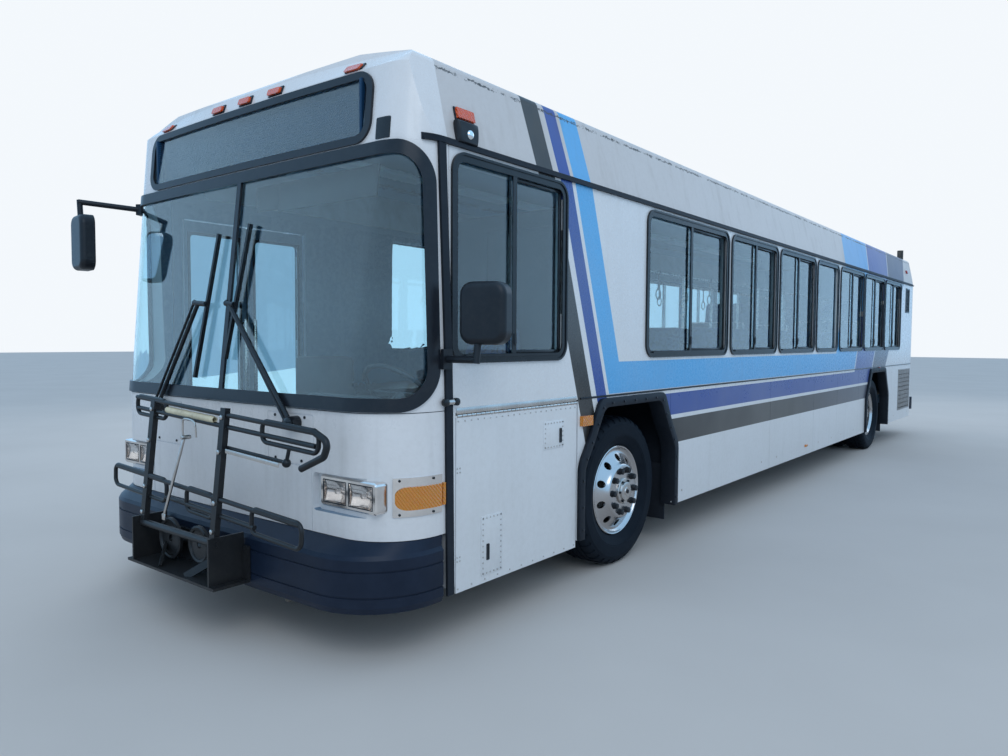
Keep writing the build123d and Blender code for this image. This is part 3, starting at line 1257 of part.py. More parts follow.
def make_rack():
    """Two-place bike rack: posts on a pivot tube that carry two trays and a support arm."""
    y = RACK_PIVOT_Y
    z = RACK_PIVOT_Z
    rack = strut((-360, y, z), (360, y, z), 19) + strut((-388, y, z), (388, y, z), 14 - REST_GAP)
    for x in (-RACK_POST_X, RACK_POST_X):
        rack += flat_bar((x, y, z - 8), (x, RACK_TOP_Y, RACK_TOP_Z), RACK_POST_T, RACK_POST_W, (1, 0, 0))
    for row in RACK_TRAYS:
        rack += make_tray(*row)
    return rack + make_hook()


def make_rack_bracket():
    """Bracket of the bike rack: a plate on the bumper, a foot, struts and two ears at the pivot."""
    face = BUMPER_FRONT_Y - BUMPER_BOW
    plate = block(-430, 430, face - 18, face - REST_GAP, 300, 470)
    bracket = plate + block(-430, 430, RACK_PIVOT_Y - 54, face - 4, 288, 302)
    for side in (1, -1):
        ear = block(*across(side, 372, 384), RACK_PIVOT_Y - 50, face - 6, 296, 536)
        ear -= strut((side * 365, RACK_PIVOT_Y, RACK_PIVOT_Z), (side * 395, RACK_PIVOT_Y, RACK_PIVOT_Z), 14)
        bracket += ear
        bracket += flat_bar((side * 130, RACK_PIVOT_Y - 30, 298), (side * 330, face - 12, 455), 40, 14)
    return bracket


def seat_rows():
    """Station, floor height and sides of each row of seat pairs, as many as the floor holds."""
    pitch = 720.0
    first = ARCH_MIDDLE + WHEELHOUSE_RUN + 180
    rows = []
    for side, end in ((1, STEP_Y), (-1, REAR_DOOR[0])):
        count = int((end - 100 - first) // pitch)
        rows += [(first + pitch * index, FLOOR_Z, side) for index in range(count)]
    for station in (STEP_Y + STEP_RUN + 150, WHEELBASE + ARCH_MIDDLE + WHEELHOUSE_RUN + 43):
        rows += [(station, REAR_FLOOR_Z, side) for side in (1, -1)]
    return rows


def make_seats():
    """Passenger seats in pairs: pan, back and wall-side leg frame of each."""
    seats = []
    outer = HALF - WALL - 25
    inner = outer - 860
    for y, floor, side in seat_rows():
        seat = block(inner, outer, y, y + 420, floor + 400, floor + 450)
        back = side_outline([(y + 400, floor + 420), (y + 445, floor + 420), (y + 520, floor + 930),
                             (y + 490, floor + 930)], inner, outer)
        leg = block(inner + 120, inner + 160, y + 120, y + 300, floor + REST_GAP, floor + 405)
        piece = seat + back + leg
        seats.append(piece if side > 0 else mirrored(piece))
    return seats


def make_grab_rails():
    """Ceiling rails along the aisle and the stanchions that carry them."""
    z = DRIP_Z - 250
    x = 305.0
    radius = 16.0
    last = STEP_Y - 370
    rail = strut((x, 300, z), (x, FIREWALL_Y - 250, z), radius)
    for y in (760.0, (760 + last) / 2, last):
        rail += strut((x, y, FLOOR_Z + REST_GAP), (x, y, z), radius)
    for y in (STEP_Y + STEP_RUN + 250, FIREWALL_Y - 450):
        rail += strut((x, y, REAR_FLOOR_Z + REST_GAP), (x, y, z), radius)
    return [rail, mirrored(rail)]


def make_driver_station():
    """Dash, steering column and wheel, and the partition behind the driver."""
    front = NOSE_Y + 125
    low = FLOOR_Z + REST_GAP
    dash = side_outline([(front, low), (front, 1130), (NOSE_Y + 300, 1160), (PILLAR_Y - 4, 1080),
                         (PILLAR_Y - 44, 700), (PILLAR_Y - 104, low)], -600, HALF - 85)
    dash &= (nose_solid(MASK_Z, MASK_TOP_Z + 2, WALL + 1, 0)
             + block(-TOE_HALF, TOE_HALF, NOSE_Y + 140, NOSE_Y + 500, FLOOR_Z, MASK_Z))
    hub = (DRIVER_X - 5, PILLAR_Y + 251, 1205)
    column = strut((hub[0], PILLAR_Y - 64, 900), hub, 32)
    rim = Pos(*hub) * Rot(-WHEEL_TILT, 0, 0) * Torus(STEERING_R, 14)
    spoke = Pos(*hub) * Rot(-WHEEL_TILT, 0, 0) * Box(2 * STEERING_R - 10, 34, 12)
    y0 = ARCH_MIDDLE - 725
    x0 = DRIVER_X - 105
    x1 = DRIVER_X + 375
    z0 = WINDOW_Z + 55
    z1 = DRIP_Z - 230
    partition = block(DRIVER_X - 395, HALF - WALL - REST_GAP, y0, y0 + 27, WHEELHOUSE_TOP + 5, z1 + 100)
    partition -= block(x0, x1, y0 - 5, y0 + 35, z0, z1)
    pane = block(x0 + REST_GAP, x1 - REST_GAP, y0 + 9, y0 + 15, z0 + REST_GAP, z1 - REST_GAP)
    return [dash + column + rim + spoke, partition, pane]


def make_driver_seat():
    """Driver's seat on its pedestal."""
    base = PLATFORM_Z + PLATFORM_T + REST_GAP
    x0 = DRIVER_X - 205
    x1 = DRIVER_X + 205
    y0 = PILLAR_Y + 516
    seat = block(x0, x1, y0, y0 + 420, base + 300, base + 400)
    seat += block(x0 + 100, x1 - 100, y0 + 100, y0 + 320, base, base + 310)
    back = [(y0 + 380, base + 380), (y0 + 480, base + 380), (y0 + 560, base + 1050), (y0 + 490, base + 1060)]
    return seat + side_outline(back, x0, x1)


def make_exhaust_stack():
    x = HALF - 165
    y = REAR_CORNER_Y - 200
    pipe = strut((x, y, ROOF_EDGE_Z - 30), (x, y, CROWN_Z + 70), 45)
    pipe = pipe - roof_solid(y - 100, y + 100, -REST_GAP)
    return pipe - strut((x, y, ROOF_EDGE_Z + 30), (x, y, CROWN_Z + 80), 38)


NODES = {}


def keep(name, shapes):
    """Put a piece, or like pieces on one body, under a node's name."""
    if not isinstance(shapes, (list, tuple)):
        shapes = [shapes]
    NODES[name] = [solid for shape in shapes for solid in shape.solids()]


keep("floor_deck", make_floor())
keep("wheelhouses", make_wheelhouses())
keep("driver_platform", make_driver_platform())
keep("battery_box", make_battery_box())
keep("batteries", make_batteries())
keep("underframe", make_underframe())
keep("rear_frame", make_rear_frame())
keep("powertrain", make_powertrain())
keep("side_wall_left", make_wall(False))
keep("side_wall_right", make_wall(True))
keep("skirt_left", make_skirt(False))
keep("skirt_right", make_skirt(True))
keep("roof", make_roof())
keep("drip_rails", make_drip_rails())
keep("front_mask", make_mask())
keep("front_posts", make_front_posts())
keep("front_header", make_header())
keep("rear_cap", make_rear_cap())
keep("windshield", make_windshield())
keep("front_gaskets", make_front_gaskets())
keep("window_frames", make_window_frames())
keep("window_glass", make_window_glass())
keep("fenders", make_fenders())
keep("bumper_front", make_front_bumper())
keep("bumper_rear", make_rear_bumper())
keep("headlamps", make_headlamps())
keep("headlamp_lenses", make_headlamp_lenses())
keep("amber_lamps", make_amber_lamps())
keep("red_lamps", make_red_lamps())
keep("mirrors", make_mirrors())
keep("wipers", make_wipers())
keep("vent_grilles", make_vent_grilles())
keep("exhaust_stack", make_exhaust_stack())
keep("front_axle", make_front_axle())
keep("rear_axle", make_rear_axle())
keep("passenger_seats", make_seats())
keep("grab_rails", make_grab_rails())
keep("driver_station", make_driver_station())
keep("driver_seat", make_driver_seat())
keep("rack_bracket", make_rack_bracket())
keep("bike_rack", make_rack())
keep("battery_door", make_battery_door())
keep("engine_door", make_engine_door())
for hatch_name, hatch_y in HATCHES:
    keep(hatch_name, make_hatch(hatch_y))
for door_name, opening in (("front_door", FRONT_DOOR), ("rear_door", REAR_DOOR)):
    fore_leaf, aft_leaf = leaves(opening)
    keep(door_name + "_fore", fore_leaf)
    keep(door_name + "_aft", aft_leaf)
for side_name, side_sign in (("left", 1), ("right", -1)):
    keep("knuckle_" + side_name, make_knuckle(side_sign))
    for axle_name, axle_y, is_twin in (("front", 0.0, False), ("rear", WHEELBASE, True)):
        tyres, rims = make_wheel(axle_y, side_sign, is_twin)
        keep("tyre_" + axle_name + "_" + side_name, tyres)
        keep("rim_" + axle_name + "_" + side_name, rims)

os.makedirs("parts", exist_ok=True)
for node_name, solids in NODES.items():
    moved = [Pos(0, -MID_Y, 0) * solid for solid in solids]
    export_step(moved[0] if len(moved) == 1 else Compound(children=moved), "parts/" + node_name + ".step")
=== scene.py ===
# %% [markdown]
# A city bus in Blender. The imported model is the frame: every steel, glass and rubber piece that has a
# real size is already there. This lesson gives those pieces their finishes and adds what is too small
# or too soft for the frame: tyre tread, wheel nuts, rivets, sash rails, lamp bowls, cushions.

# %% Load the frame
import math

import bpy
from mathutils import Matrix, Vector
from mathutils.bvhtree import BVHTree


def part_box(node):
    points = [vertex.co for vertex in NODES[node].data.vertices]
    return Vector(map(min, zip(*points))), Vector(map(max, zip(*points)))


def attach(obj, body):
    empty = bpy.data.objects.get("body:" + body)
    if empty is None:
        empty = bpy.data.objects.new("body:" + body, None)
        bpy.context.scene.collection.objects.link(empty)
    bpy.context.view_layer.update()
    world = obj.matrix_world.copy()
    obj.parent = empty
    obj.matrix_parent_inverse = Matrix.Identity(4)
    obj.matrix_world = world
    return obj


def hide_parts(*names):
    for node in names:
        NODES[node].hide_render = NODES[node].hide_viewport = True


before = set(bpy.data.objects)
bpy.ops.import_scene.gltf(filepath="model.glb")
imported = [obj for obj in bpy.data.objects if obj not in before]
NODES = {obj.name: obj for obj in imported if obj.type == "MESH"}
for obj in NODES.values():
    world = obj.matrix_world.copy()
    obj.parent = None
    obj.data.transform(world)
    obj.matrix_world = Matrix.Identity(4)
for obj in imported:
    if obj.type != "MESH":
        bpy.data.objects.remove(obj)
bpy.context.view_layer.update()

# %% [markdown]
# The sizes used below are read from the frame, in metres, but for the wheelbase, which is written out.
# +X is the driver's side, +Y runs to the rear.
# The front axle's place turns a station measured from the axle into a station of the frame.

# %% Driving sizes
SKIN_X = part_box("side_wall_left")[1][0]
FRONT_AXLE_Y = sum(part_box("tyre_front_left")[i][1] for i in (0, 1)) / 2
REAR_AXLE_Y = sum(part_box("tyre_rear_left")[i][1] for i in (0, 1)) / 2
HUB_Z = sum(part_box("tyre_front_left")[i][2] for i in (0, 1)) / 2
REAR_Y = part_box("rear_cap")[1][1]
DRIP_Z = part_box("side_wall_left")[1][2]
WHEELBASE = 7.107
SIDES = (("left", 1), ("right", -1))


def station(y):
    """A place along the bus, given from the front axle."""
    return y + FRONT_AXLE_Y


print("skin at", round(SKIN_X, 3), "axles at", round(FRONT_AXLE_Y, 3), round(REAR_AXLE_Y, 3))

# %% [markdown]
# The camera stands beside the road, off the driver's front corner and 1.5 m above the ground. Its
# place, its turn and its lens were worked out from the picture's vanishing lines.

# %% Camera
CAMERA_PLACE = (3.738, station(-4.468), 1.510)
CAMERA_LENS = 26.98
CAMERA_YAW = math.radians(38.19)
CAMERA_PITCH = math.radians(87.12)
CAMERA_ROLL = math.radians(0.34)

camera_data = bpy.data.cameras.new("camera")
camera_data.lens = CAMERA_LENS
camera_data.sensor_width = 36.0
camera = bpy.data.objects.new("camera", camera_data)
bpy.context.scene.collection.objects.link(camera)
turn = Matrix.Rotation(CAMERA_YAW, 4, "Z") @ Matrix.Rotation(CAMERA_PITCH, 4, "X")
camera.matrix_world = Matrix.Translation(CAMERA_PLACE) @ turn @ Matrix.Rotation(CAMERA_ROLL, 4, "Z")
bpy.context.scene.camera = camera

# %% [markdown]
# Light on a grey street day is soft and comes from all over the sky. A pale world does most of the
# work, one large soft lamp stands high on the camera's side, and two weaker ones fill the door's side
# and the rear.

# %% Light and floor
scene = bpy.context.scene
scene.view_settings.view_transform = "Standard"
world = bpy.data.worlds.new("sky")
scene.world = world
world.use_nodes = True
sky = world.node_tree
sky.nodes.clear()
sky_out = sky.nodes.new("ShaderNodeOutputWorld")
sky_path = sky.nodes.new("ShaderNodeLightPath")


def sky_of(colour, strength):
    """An even sky of one colour."""
    node = sky.nodes.new("ShaderNodeBackground")
    node.inputs["Color"].default_value = (*colour, 1)
    node.inputs["Strength"].default_value = strength
    return node.outputs[0]


def sky_for(ray, first, second):
    """The second sky for the rays that a mask names, the first for all others."""
    mix = sky.nodes.new("ShaderNodeMixShader")
    sky.links.new(ray, mix.inputs["Fac"])
    sky.links.new(first, mix.inputs[1])
    sky.links.new(second, mix.inputs[2])
    return mix.outputs[0]


seen_ray = sky.nodes.new("ShaderNodeMath")
seen_ray.operation = "MAXIMUM"
sky.links.new(sky_path.outputs["Is Camera Ray"], seen_ray.inputs[0])
sky.links.new(sky_path.outputs["Is Transmission Ray"], seen_ray.inputs[1])
# the sky that lights is a soft blue, the one in reflections a deeper blue, the one seen is pale
LIT_SKY = ((0.68, 0.83, 1.0), 0.72)
MIRRORED_SKY = ((0.38, 0.67, 1.0), 1.30)
SEEN_SKY = ((0.90, 0.94, 0.98), 1.0)
unseen_sky = sky_for(sky_path.outputs["Is Glossy Ray"], sky_of(*LIT_SKY), sky_of(*MIRRORED_SKY))
sky.links.new(sky_for(seen_ray.outputs[0], unseen_sky, sky_of(*SEEN_SKY)), sky_out.inputs["Surface"])


def add_lamp(name, place, aim, size, power):
    """A square soft lamp that looks at a point."""
    data = bpy.data.lights.new(name, "AREA")
    data.size = size
    data.energy = power
    lamp = bpy.data.objects.new(name, data)
    lamp.location = place
    lamp.rotation_euler = (Vector(aim) - Vector(place)).to_track_quat("-Z", "Y").to_euler()
    bpy.context.scene.collection.objects.link(lamp)


add_lamp("key", (8.6, -11.8, 9.4), (0, -2, 1.2), 7.0, 335)
add_lamp("fill", (-9.0, 3.0, 8.0), (0, 0, 1.5), 7.0, 210)
add_lamp("back", (4.0, 13.0, 8.0), (0, 2, 1.5), 7.0, 120)

# %% [markdown]
# Shader trees are easier to read when a node is one short call. These helpers add a node, fill its
# inputs with numbers or links, and give back the output that is wanted.

# %% Shader helpers
def feed(tree, socket, value):
    """Link an output to a socket, or set the socket's own number or colour."""
    if isinstance(value, bpy.types.NodeSocket):
        tree.links.new(value, socket)
    elif isinstance(value, (tuple, list)) and socket.type == "RGBA" and len(value) == 3:
        socket.default_value = (*value, 1.0)
    else:
        socket.default_value = value


def add_math(tree, operation, *values, clamp=False):
    """A Math node on numbers or links."""
    node = tree.nodes.new("ShaderNodeMath")
    node.operation = operation
    node.use_clamp = clamp
    for socket, value in zip(node.inputs, values):
        feed(tree, socket, value)
    return node.outputs[0]


def add_mix(tree, factor, first, second):
    """The first colour turned into the second by a factor."""
    node = tree.nodes.new("ShaderNodeMix")
    node.data_type = "RGBA"
    feed(tree, node.inputs[0], factor)
    feed(tree, node.inputs[6], first)
    feed(tree, node.inputs[7], second)
    return node.outputs[2]


def add_noise(tree, vector, scale, detail=3.0, roughness=0.55, stretch=None):
    """Noise on the object's coordinates, drawn out along an axis by a stretch."""
    if stretch is not None:
        mapping = tree.nodes.new("ShaderNodeMapping")
        feed(tree, mapping.inputs["Vector"], vector)
        mapping.inputs["Scale"].default_value = stretch
        vector = mapping.outputs[0]
    node = tree.nodes.new("ShaderNodeTexNoise")
    feed(tree, node.inputs["Vector"], vector)
    node.inputs["Scale"].default_value = scale
    node.inputs["Detail"].default_value = detail
    node.inputs["Roughness"].default_value = roughness
    return node.outputs[0]


def add_ramp(tree, value, low, high, low_out=0.0, high_out=1.0):
    """A value drawn from one range to another, held at its ends."""
    node = tree.nodes.new("ShaderNodeMapRange")
    feed(tree, node.inputs[0], value)
    for index, number in enumerate((low, high, low_out, high_out)):
        feed(tree, node.inputs[index + 1], number)
    return node.outputs[0]


def object_place(tree):
    """Object coordinates, whole and split."""
    coordinates = tree.nodes.new("ShaderNodeTexCoord")
    split = tree.nodes.new("ShaderNodeSeparateXYZ")
    tree.links.new(coordinates.outputs["Object"], split.inputs[0])
    return coordinates.outputs["Object"], split.outputs[0], split.outputs[1], split.outputs[2]


def add_bump(tree, height, strength, distance):
    """A normal bent by a height."""
    node = tree.nodes.new("ShaderNodeBump")
    feed(tree, node.inputs["Height"], height)
    node.inputs["Strength"].default_value = strength
    node.inputs["Distance"].default_value = distance
    return node.outputs[0]


def feed_all(tree, node, **values):
    """Feed the inputs of a node by their names, with an underline for a blank."""
    for socket_name, value in values.items():
        feed(tree, node.inputs[socket_name.replace("_", " ")], value)


def new_finish(name, **values):
    """A material, its tree and its Principled BSDF, whose fixed inputs are set here."""
    material = bpy.data.materials.new(name)
    material.use_nodes = True
    shader = material.node_tree.nodes["Principled BSDF"]
    feed_all(material.node_tree, shader, **values)
    return material, material.node_tree, shader


def new_group(name, inputs, outputs):
    """An empty shader node group with named inputs (name, type, value) and outputs (name, type)."""
    group = bpy.data.node_groups.new(name, "ShaderNodeTree")
    for socket_name, kind, value in inputs:
        socket = group.interface.new_socket(socket_name, in_out="INPUT", socket_type=kind)
        if value is not None:
            socket.default_value = value
    for socket_name, kind in outputs:
        group.interface.new_socket(socket_name, in_out="OUTPUT", socket_type=kind)
    return group, group.nodes.new("NodeGroupInput"), group.nodes.new("NodeGroupOutput")


def place_group(tree, group, **values):
    """A group node in a material's tree, with some inputs set or linked."""
    node = tree.nodes.new("ShaderNodeGroup")
    node.node_tree = group
    feed_all(tree, node, **values)
    return node


# %% [markdown]
# Road dirt is on everything: a thin film that thickens towards the ground, streaks that rain has drawn
# down the panels, and fine mottling. One group gives all of it as a mask, so that each material can
# decide what the dirt does to its own colour and gloss.

# %% Group: road dirt
FLOAT = "NodeSocketFloat"
COLOUR = "NodeSocketColor"

road_dirt, dirt_in, dirt_out = new_group(
    "road_dirt",
    (("Low Dirt", FLOAT, 0.5), ("Streaks", FLOAT, 0.3), ("Mottle", FLOAT, 0.2)),
    (("Mask", FLOAT),))
dirt_place, _, _, dirt_z = object_place(road_dirt)
dirt_cloud = add_noise(road_dirt, dirt_place, 2.2, 5.0, 0.65)
dirt_low = add_math(road_dirt, "ADD", add_ramp(road_dirt, dirt_z, 1.3, 0.25), add_math(
    road_dirt, "SUBTRACT", dirt_cloud, 0.5))
dirt_streak = add_ramp(road_dirt, add_noise(road_dirt, dirt_place, 9.0, 3.0, 0.6, (1, 1, 0.09)), 0.53, 0.75)
dirt_mottle = add_ramp(road_dirt, add_noise(road_dirt, dirt_place, 30.0, 4.0, 0.7), 0.42, 0.75)
dirt_sum = add_math(road_dirt, "MULTIPLY", dirt_low, dirt_in.outputs["Low Dirt"])
dirt_sum = add_math(road_dirt, "MULTIPLY_ADD", dirt_streak, dirt_in.outputs["Streaks"], dirt_sum)
dirt_sum = add_math(road_dirt, "MULTIPLY_ADD", dirt_mottle, dirt_in.outputs["Mottle"], dirt_sum, clamp=True)
feed(road_dirt, dirt_out.inputs["Mask"], dirt_sum)

# %% [markdown]
# The three stripes run along the side in light blue, blue and dark grey. Near the front each turns up
# in a slanted strip to the roof, and at the rear each sweeps up in a broad field. A stripe is
# everything behind its front edge and above its lower edge, less the white field that lies behind the
# slanted strip and above the band, so a few comparisons of y and z draw it with crisp edges.

# %% Group: stripes
stripes, stripes_in, stripes_out = new_group(
    "side_stripes", (("White", COLOUR, (0.8, 0.81, 0.82, 1)),), (("Color", COLOUR), ("Inside", FLOAT)))
paint_place, paint_x, paint_y, paint_z = object_place(stripes)
# band: lower z, upper z, front edge's y and inner edge's y at z 1.373, then the y of the field's front
# and rear edges at z 1.38 with how far each leans back for each metre up
BANDS = (
    ("light", 1.170, 1.375, -0.346, -0.157, 5.00, 0.30, 5.97, 0.48, (0.095, 0.46, 0.90)),
    ("blue", 0.970, 1.130, -0.501, -0.382, 6.00, 0.48, 6.95, 0.66, (0.018, 0.075, 0.36)),
    ("dark", 0.760, 0.940, -0.719, -0.558, 6.98, 0.66, 7.83, 0.90, (0.022, 0.021, 0.021)),
)
SLANT = -0.333
SLANT_Z = 1.373
FIELD_Z = 1.38
TOP_OF_STRIPES = 2.852
# the slanted strips stand steeper over the drip rail, where the cove leans in
BEND = 0.67
# how far the skin leans in for each metre up, over the drip rail and once more over the roof's edge
COVE_LEAN = 0.239
EDGE_LEAN = 0.60
EDGE_Z = 2.815
LINING_AND_REFLECTION_TOP = 2.88


def over(z):
    """How far a point lies above a height, and 0 below it."""
    return add_math(stripes, "MAXIMUM", add_math(stripes, "SUBTRACT", paint_z, z), 0.0)


bent_z = add_math(stripes, "MULTIPLY_ADD", over(DRIP_Z + 0.01), -BEND, paint_z)


def slanted(y_at, lean, z_at, height=paint_z):
    """How far a point lies behind a slanted line, in metres."""
    line = add_math(stripes, "MULTIPLY_ADD", add_math(stripes, "SUBTRACT", height, z_at), lean, station(y_at))
    return add_math(stripes, "SUBTRACT", paint_y, line)


def behind(distance):
    """1 behind an edge and 0 before it, with an edge 2 mm wide."""
    return add_math(stripes, "MULTIPLY_ADD", distance, 500.0, 0.5, clamp=True)


def above(z):
    return behind(add_math(stripes, "SUBTRACT", paint_z, z))


def both(first, second):
    return add_math(stripes, "MULTIPLY", first, second)


def either(first, second):
    return add_math(stripes, "MAXIMUM", first, second)


def opposite(mask):
    return add_math(stripes, "SUBTRACT", 1.0, mask)


# towards the rear each stripe is drawn nearer a blue-grey: a painted reflection of the sky on the far panels
rear_sky_sheen = add_ramp(stripes, paint_y, station(3.5), station(8.6), 0.0, 0.34)
stripe_colour = stripes_in.outputs["White"]
painted = None
for _, low, high, front, inner, start, start_lean, end, end_lean, colour in BANDS:
    body_of_band = either(opposite(behind(slanted(inner, SLANT, SLANT_Z, bent_z))), opposite(above(high)))
    body_of_band = either(body_of_band, behind(slanted(start, start_lean, FIELD_Z)))
    mask = both(behind(slanted(front, SLANT, SLANT_Z, bent_z)), above(low))
    mask = both(both(mask, body_of_band), opposite(behind(slanted(end, end_lean, FIELD_Z))))
    mask = both(mask, opposite(above(TOP_OF_STRIPES)))
    band_with_sky_sheen = add_mix(stripes, rear_sky_sheen, colour, (0.27, 0.33, 0.56))
    stripe_colour = add_mix(stripes, mask, stripe_colour, band_with_sky_sheen)
    painted = mask if painted is None else either(painted, mask)
# the outer skin lies at the wall, and leans in over the drip rail and again at the roof's edge
skin_x = add_math(stripes, "MULTIPLY_ADD", over(DRIP_Z), -COVE_LEAN, SKIN_X - 0.028)
skin_x = add_math(stripes, "MULTIPLY_ADD", over(EDGE_Z), -EDGE_LEAN, skin_x)
on_side = add_math(stripes, "GREATER_THAN", add_math(stripes, "ABSOLUTE", paint_x), skin_x)
painted = both(painted, on_side)
feed(stripes, stripes_out.inputs["Color"],
     add_mix(stripes, painted, stripes_in.outputs["White"], stripe_colour))
# a face inside the shell looks away from the bus's middle line
middle_way = stripes.nodes.new("ShaderNodeTexCoord").outputs["Normal"]
looks = stripes.nodes.new("ShaderNodeVectorMath")
looks.operation = "DOT_PRODUCT"
feed(stripes, looks.inputs[0], middle_way)
from_middle = stripes.nodes.new("ShaderNodeVectorMath")
from_middle.operation = "SUBTRACT"
feed(stripes, from_middle.inputs[0], paint_place)
from_middle.inputs[1].default_value = (0, 0, 1.6)
feed(stripes, looks.inputs[1], from_middle.outputs[0])
# inner faces below the roof's edge take a lining colour that carries a painted reflection of the sky
inside = both(add_math(stripes, "LESS_THAN", looks.outputs["Value"], 0.0), opposite(on_side))
inside = both(inside, add_math(stripes, "LESS_THAN", paint_z, LINING_AND_REFLECTION_TOP))
feed(stripes, stripes_out.inputs["Inside"], inside)

# %% [markdown]
# The body's white is old enamel: glossy under a film of dirt, a little uneven, with orange peel that
# shows only in the reflections.

# %% Body paint
SEAM_Z = 2.812


def make_paint(name, white, streaks, low_dirt, seam_line=False, rough=0.26, coat=0.12):
    """Body enamel with the stripes, a film of dirt and, on the roof, the sealant of its edge."""
    material, tree, shader = new_finish(name, Coat_Weight=coat, Coat_Roughness=0.15)
    livery = place_group(tree, stripes, White=white)
    dirt = place_group(tree, road_dirt, Low_Dirt=low_dirt, Streaks=streaks, Mottle=0.10)
    place, _, _, z = object_place(tree)
    colour = add_mix(tree, add_ramp(tree, add_noise(tree, place, 1.1, 3.0), 0.35, 0.7, 0.0, 0.10),
                     livery.outputs["Color"], (0.62, 0.63, 0.60))
    colour = add_mix(tree, add_math(tree, "MULTIPLY", dirt.outputs["Mask"], 0.62), colour, (0.19, 0.175, 0.15))
    # inner faces get a dark lining colour, tinted blue as a painted reflection of the sky in the windows in front of
    # them
    colour = add_mix(tree, livery.outputs["Inside"], colour, (0.15, 0.25, 0.36))
    if seam_line:
        # old sealant along the roof's edge: a dark line with chipped, irregular borders
        ragged = add_noise(tree, place, 46.0, 5.0, 0.85, (1, 0.6, 1))
        height = add_math(tree, "MULTIPLY_ADD", add_math(tree, "SUBTRACT", ragged, 0.5), 0.075, z)
        off_line = add_math(tree, "ABSOLUTE", add_math(tree, "SUBTRACT", height, SEAM_Z))
        patches = add_ramp(tree, add_noise(tree, place, 5.0, 5.0, 0.8), 0.44, 0.50)
        chipped = add_math(tree, "MULTIPLY", add_ramp(tree, off_line, 0.007, 0.004), patches)
        colour = add_mix(tree, chipped, colour, (0.05, 0.048, 0.045))
    feed_all(tree, shader, Base_Color=colour,
             Roughness=add_math(tree, "MULTIPLY_ADD", dirt.outputs["Mask"], 0.45, rough, clamp=True),
             Normal=add_bump(tree, add_noise(tree, place, 7.0, 2.0), 0.03, 0.006))
    return material


body_paint = make_paint("body_paint", (0.79, 0.84, 0.89, 1), 0.08, 0.16)
roof_paint = make_paint("roof_paint", (0.62, 0.63, 0.65, 1), 0.22, 0.10, seam_line=True, rough=0.46, coat=0.0)
front_paint = make_paint("front_paint", (0.80, 0.83, 0.87, 1), 0.18, 0.18)


# %% [markdown]
# Rubber, black enamel, plastic and steel differ in how rough they are, how much dust they hold and how
# grained they are. One function makes each of them from a few numbers.

# %% Plain finishes
def make_plain(name, colour, dust_colour, rough, dust, grain_scale, grain, low_dirt=0.25, metallic=0.0, coat=0.0,
               shine=0.5):
    """A finish with dust in the low places, mottled roughness and grain as bump."""
    material, tree, shader = new_finish(name, Metallic=metallic, Coat_Weight=coat, Specular_IOR_Level=shine)
    dirt = place_group(tree, road_dirt, Low_Dirt=low_dirt, Streaks=dust * 0.5, Mottle=dust)
    place = object_place(tree)[0]
    cloud = add_ramp(tree, add_noise(tree, place, 7.0, 4.0), 0.3, 0.75)
    shade = add_mix(tree, cloud, colour, tuple(min(1.0, c * 1.35 + 0.004) for c in colour))
    feed_all(tree, shader, Base_Color=add_mix(tree, dirt.outputs["Mask"], shade, dust_colour),
             Roughness=add_math(tree, "MULTIPLY_ADD", dirt.outputs["Mask"], 0.35, rough, clamp=True),
             Normal=add_bump(tree, add_noise(tree, place, grain_scale, 3.0), grain, 0.002))
    return material


DUST = (0.20, 0.185, 0.16)
rubber = make_plain("rubber", (0.006, 0.010, 0.017), (0.06, 0.065, 0.075), 0.50, 0.08, 220.0, 0.25, 0.10,
                    shine=0.20)
gasket_rubber = make_plain("gasket_rubber", (0.006, 0.009, 0.015), DUST, 0.30, 0.03, 180.0, 0.12, 0.03, shine=0.35)
frame_black = make_plain("frame_black", (0.006, 0.009, 0.013), DUST, 0.26, 0.03, 300.0, 0.08, 0.04, shine=0.35)
rack_black = make_plain("rack_black", (0.006, 0.008, 0.011), DUST, 0.33, 0.04, 260.0, 0.12, 0.04, shine=0.30)
bumper_skin = make_plain("bumper_skin", (0.004, 0.011, 0.028), (0.04, 0.05, 0.07), 0.36, 0.05, 140.0, 0.10, 0.08,
                         shine=0.22)
black_plastic = make_plain("black_plastic", (0.007, 0.010, 0.015), DUST, 0.38, 0.03, 400.0, 0.25, 0.03, shine=0.30)
chassis_black = make_plain("chassis_black", (0.022, 0.021, 0.020), DUST, 0.62, 0.45, 90.0, 0.35, 0.85)
engine_cast = make_plain("engine_cast", (0.10, 0.10, 0.095), (0.10, 0.08, 0.06), 0.55, 0.55, 60.0, 0.5, 0.6)
floor_sheet = make_plain("floor_sheet", (0.060, 0.076, 0.092), (0.16, 0.15, 0.14), 0.60, 0.35, 320.0, 0.45, 0.1)
cab_plastic = make_plain("cab_plastic", (0.045, 0.060, 0.075), DUST, 0.50, 0.15, 500.0, 0.35, 0.1)
steel = make_plain("steel", (0.52, 0.48, 0.45), (0.30, 0.28, 0.25), 0.26, 0.12, 120.0, 0.05, 0.1, metallic=1.0)
chrome = make_plain("chrome", (0.76, 0.69, 0.65), (0.35, 0.33, 0.30), 0.09, 0.10, 60.0, 0.02, 0.2, metallic=1.0)

# %% [markdown]
# Polished aluminium wheels are bright, with some road dirt in their hollows. Noise that is drawn out
# along the wheel's travel moves the normal a little, so that the reflections waver.

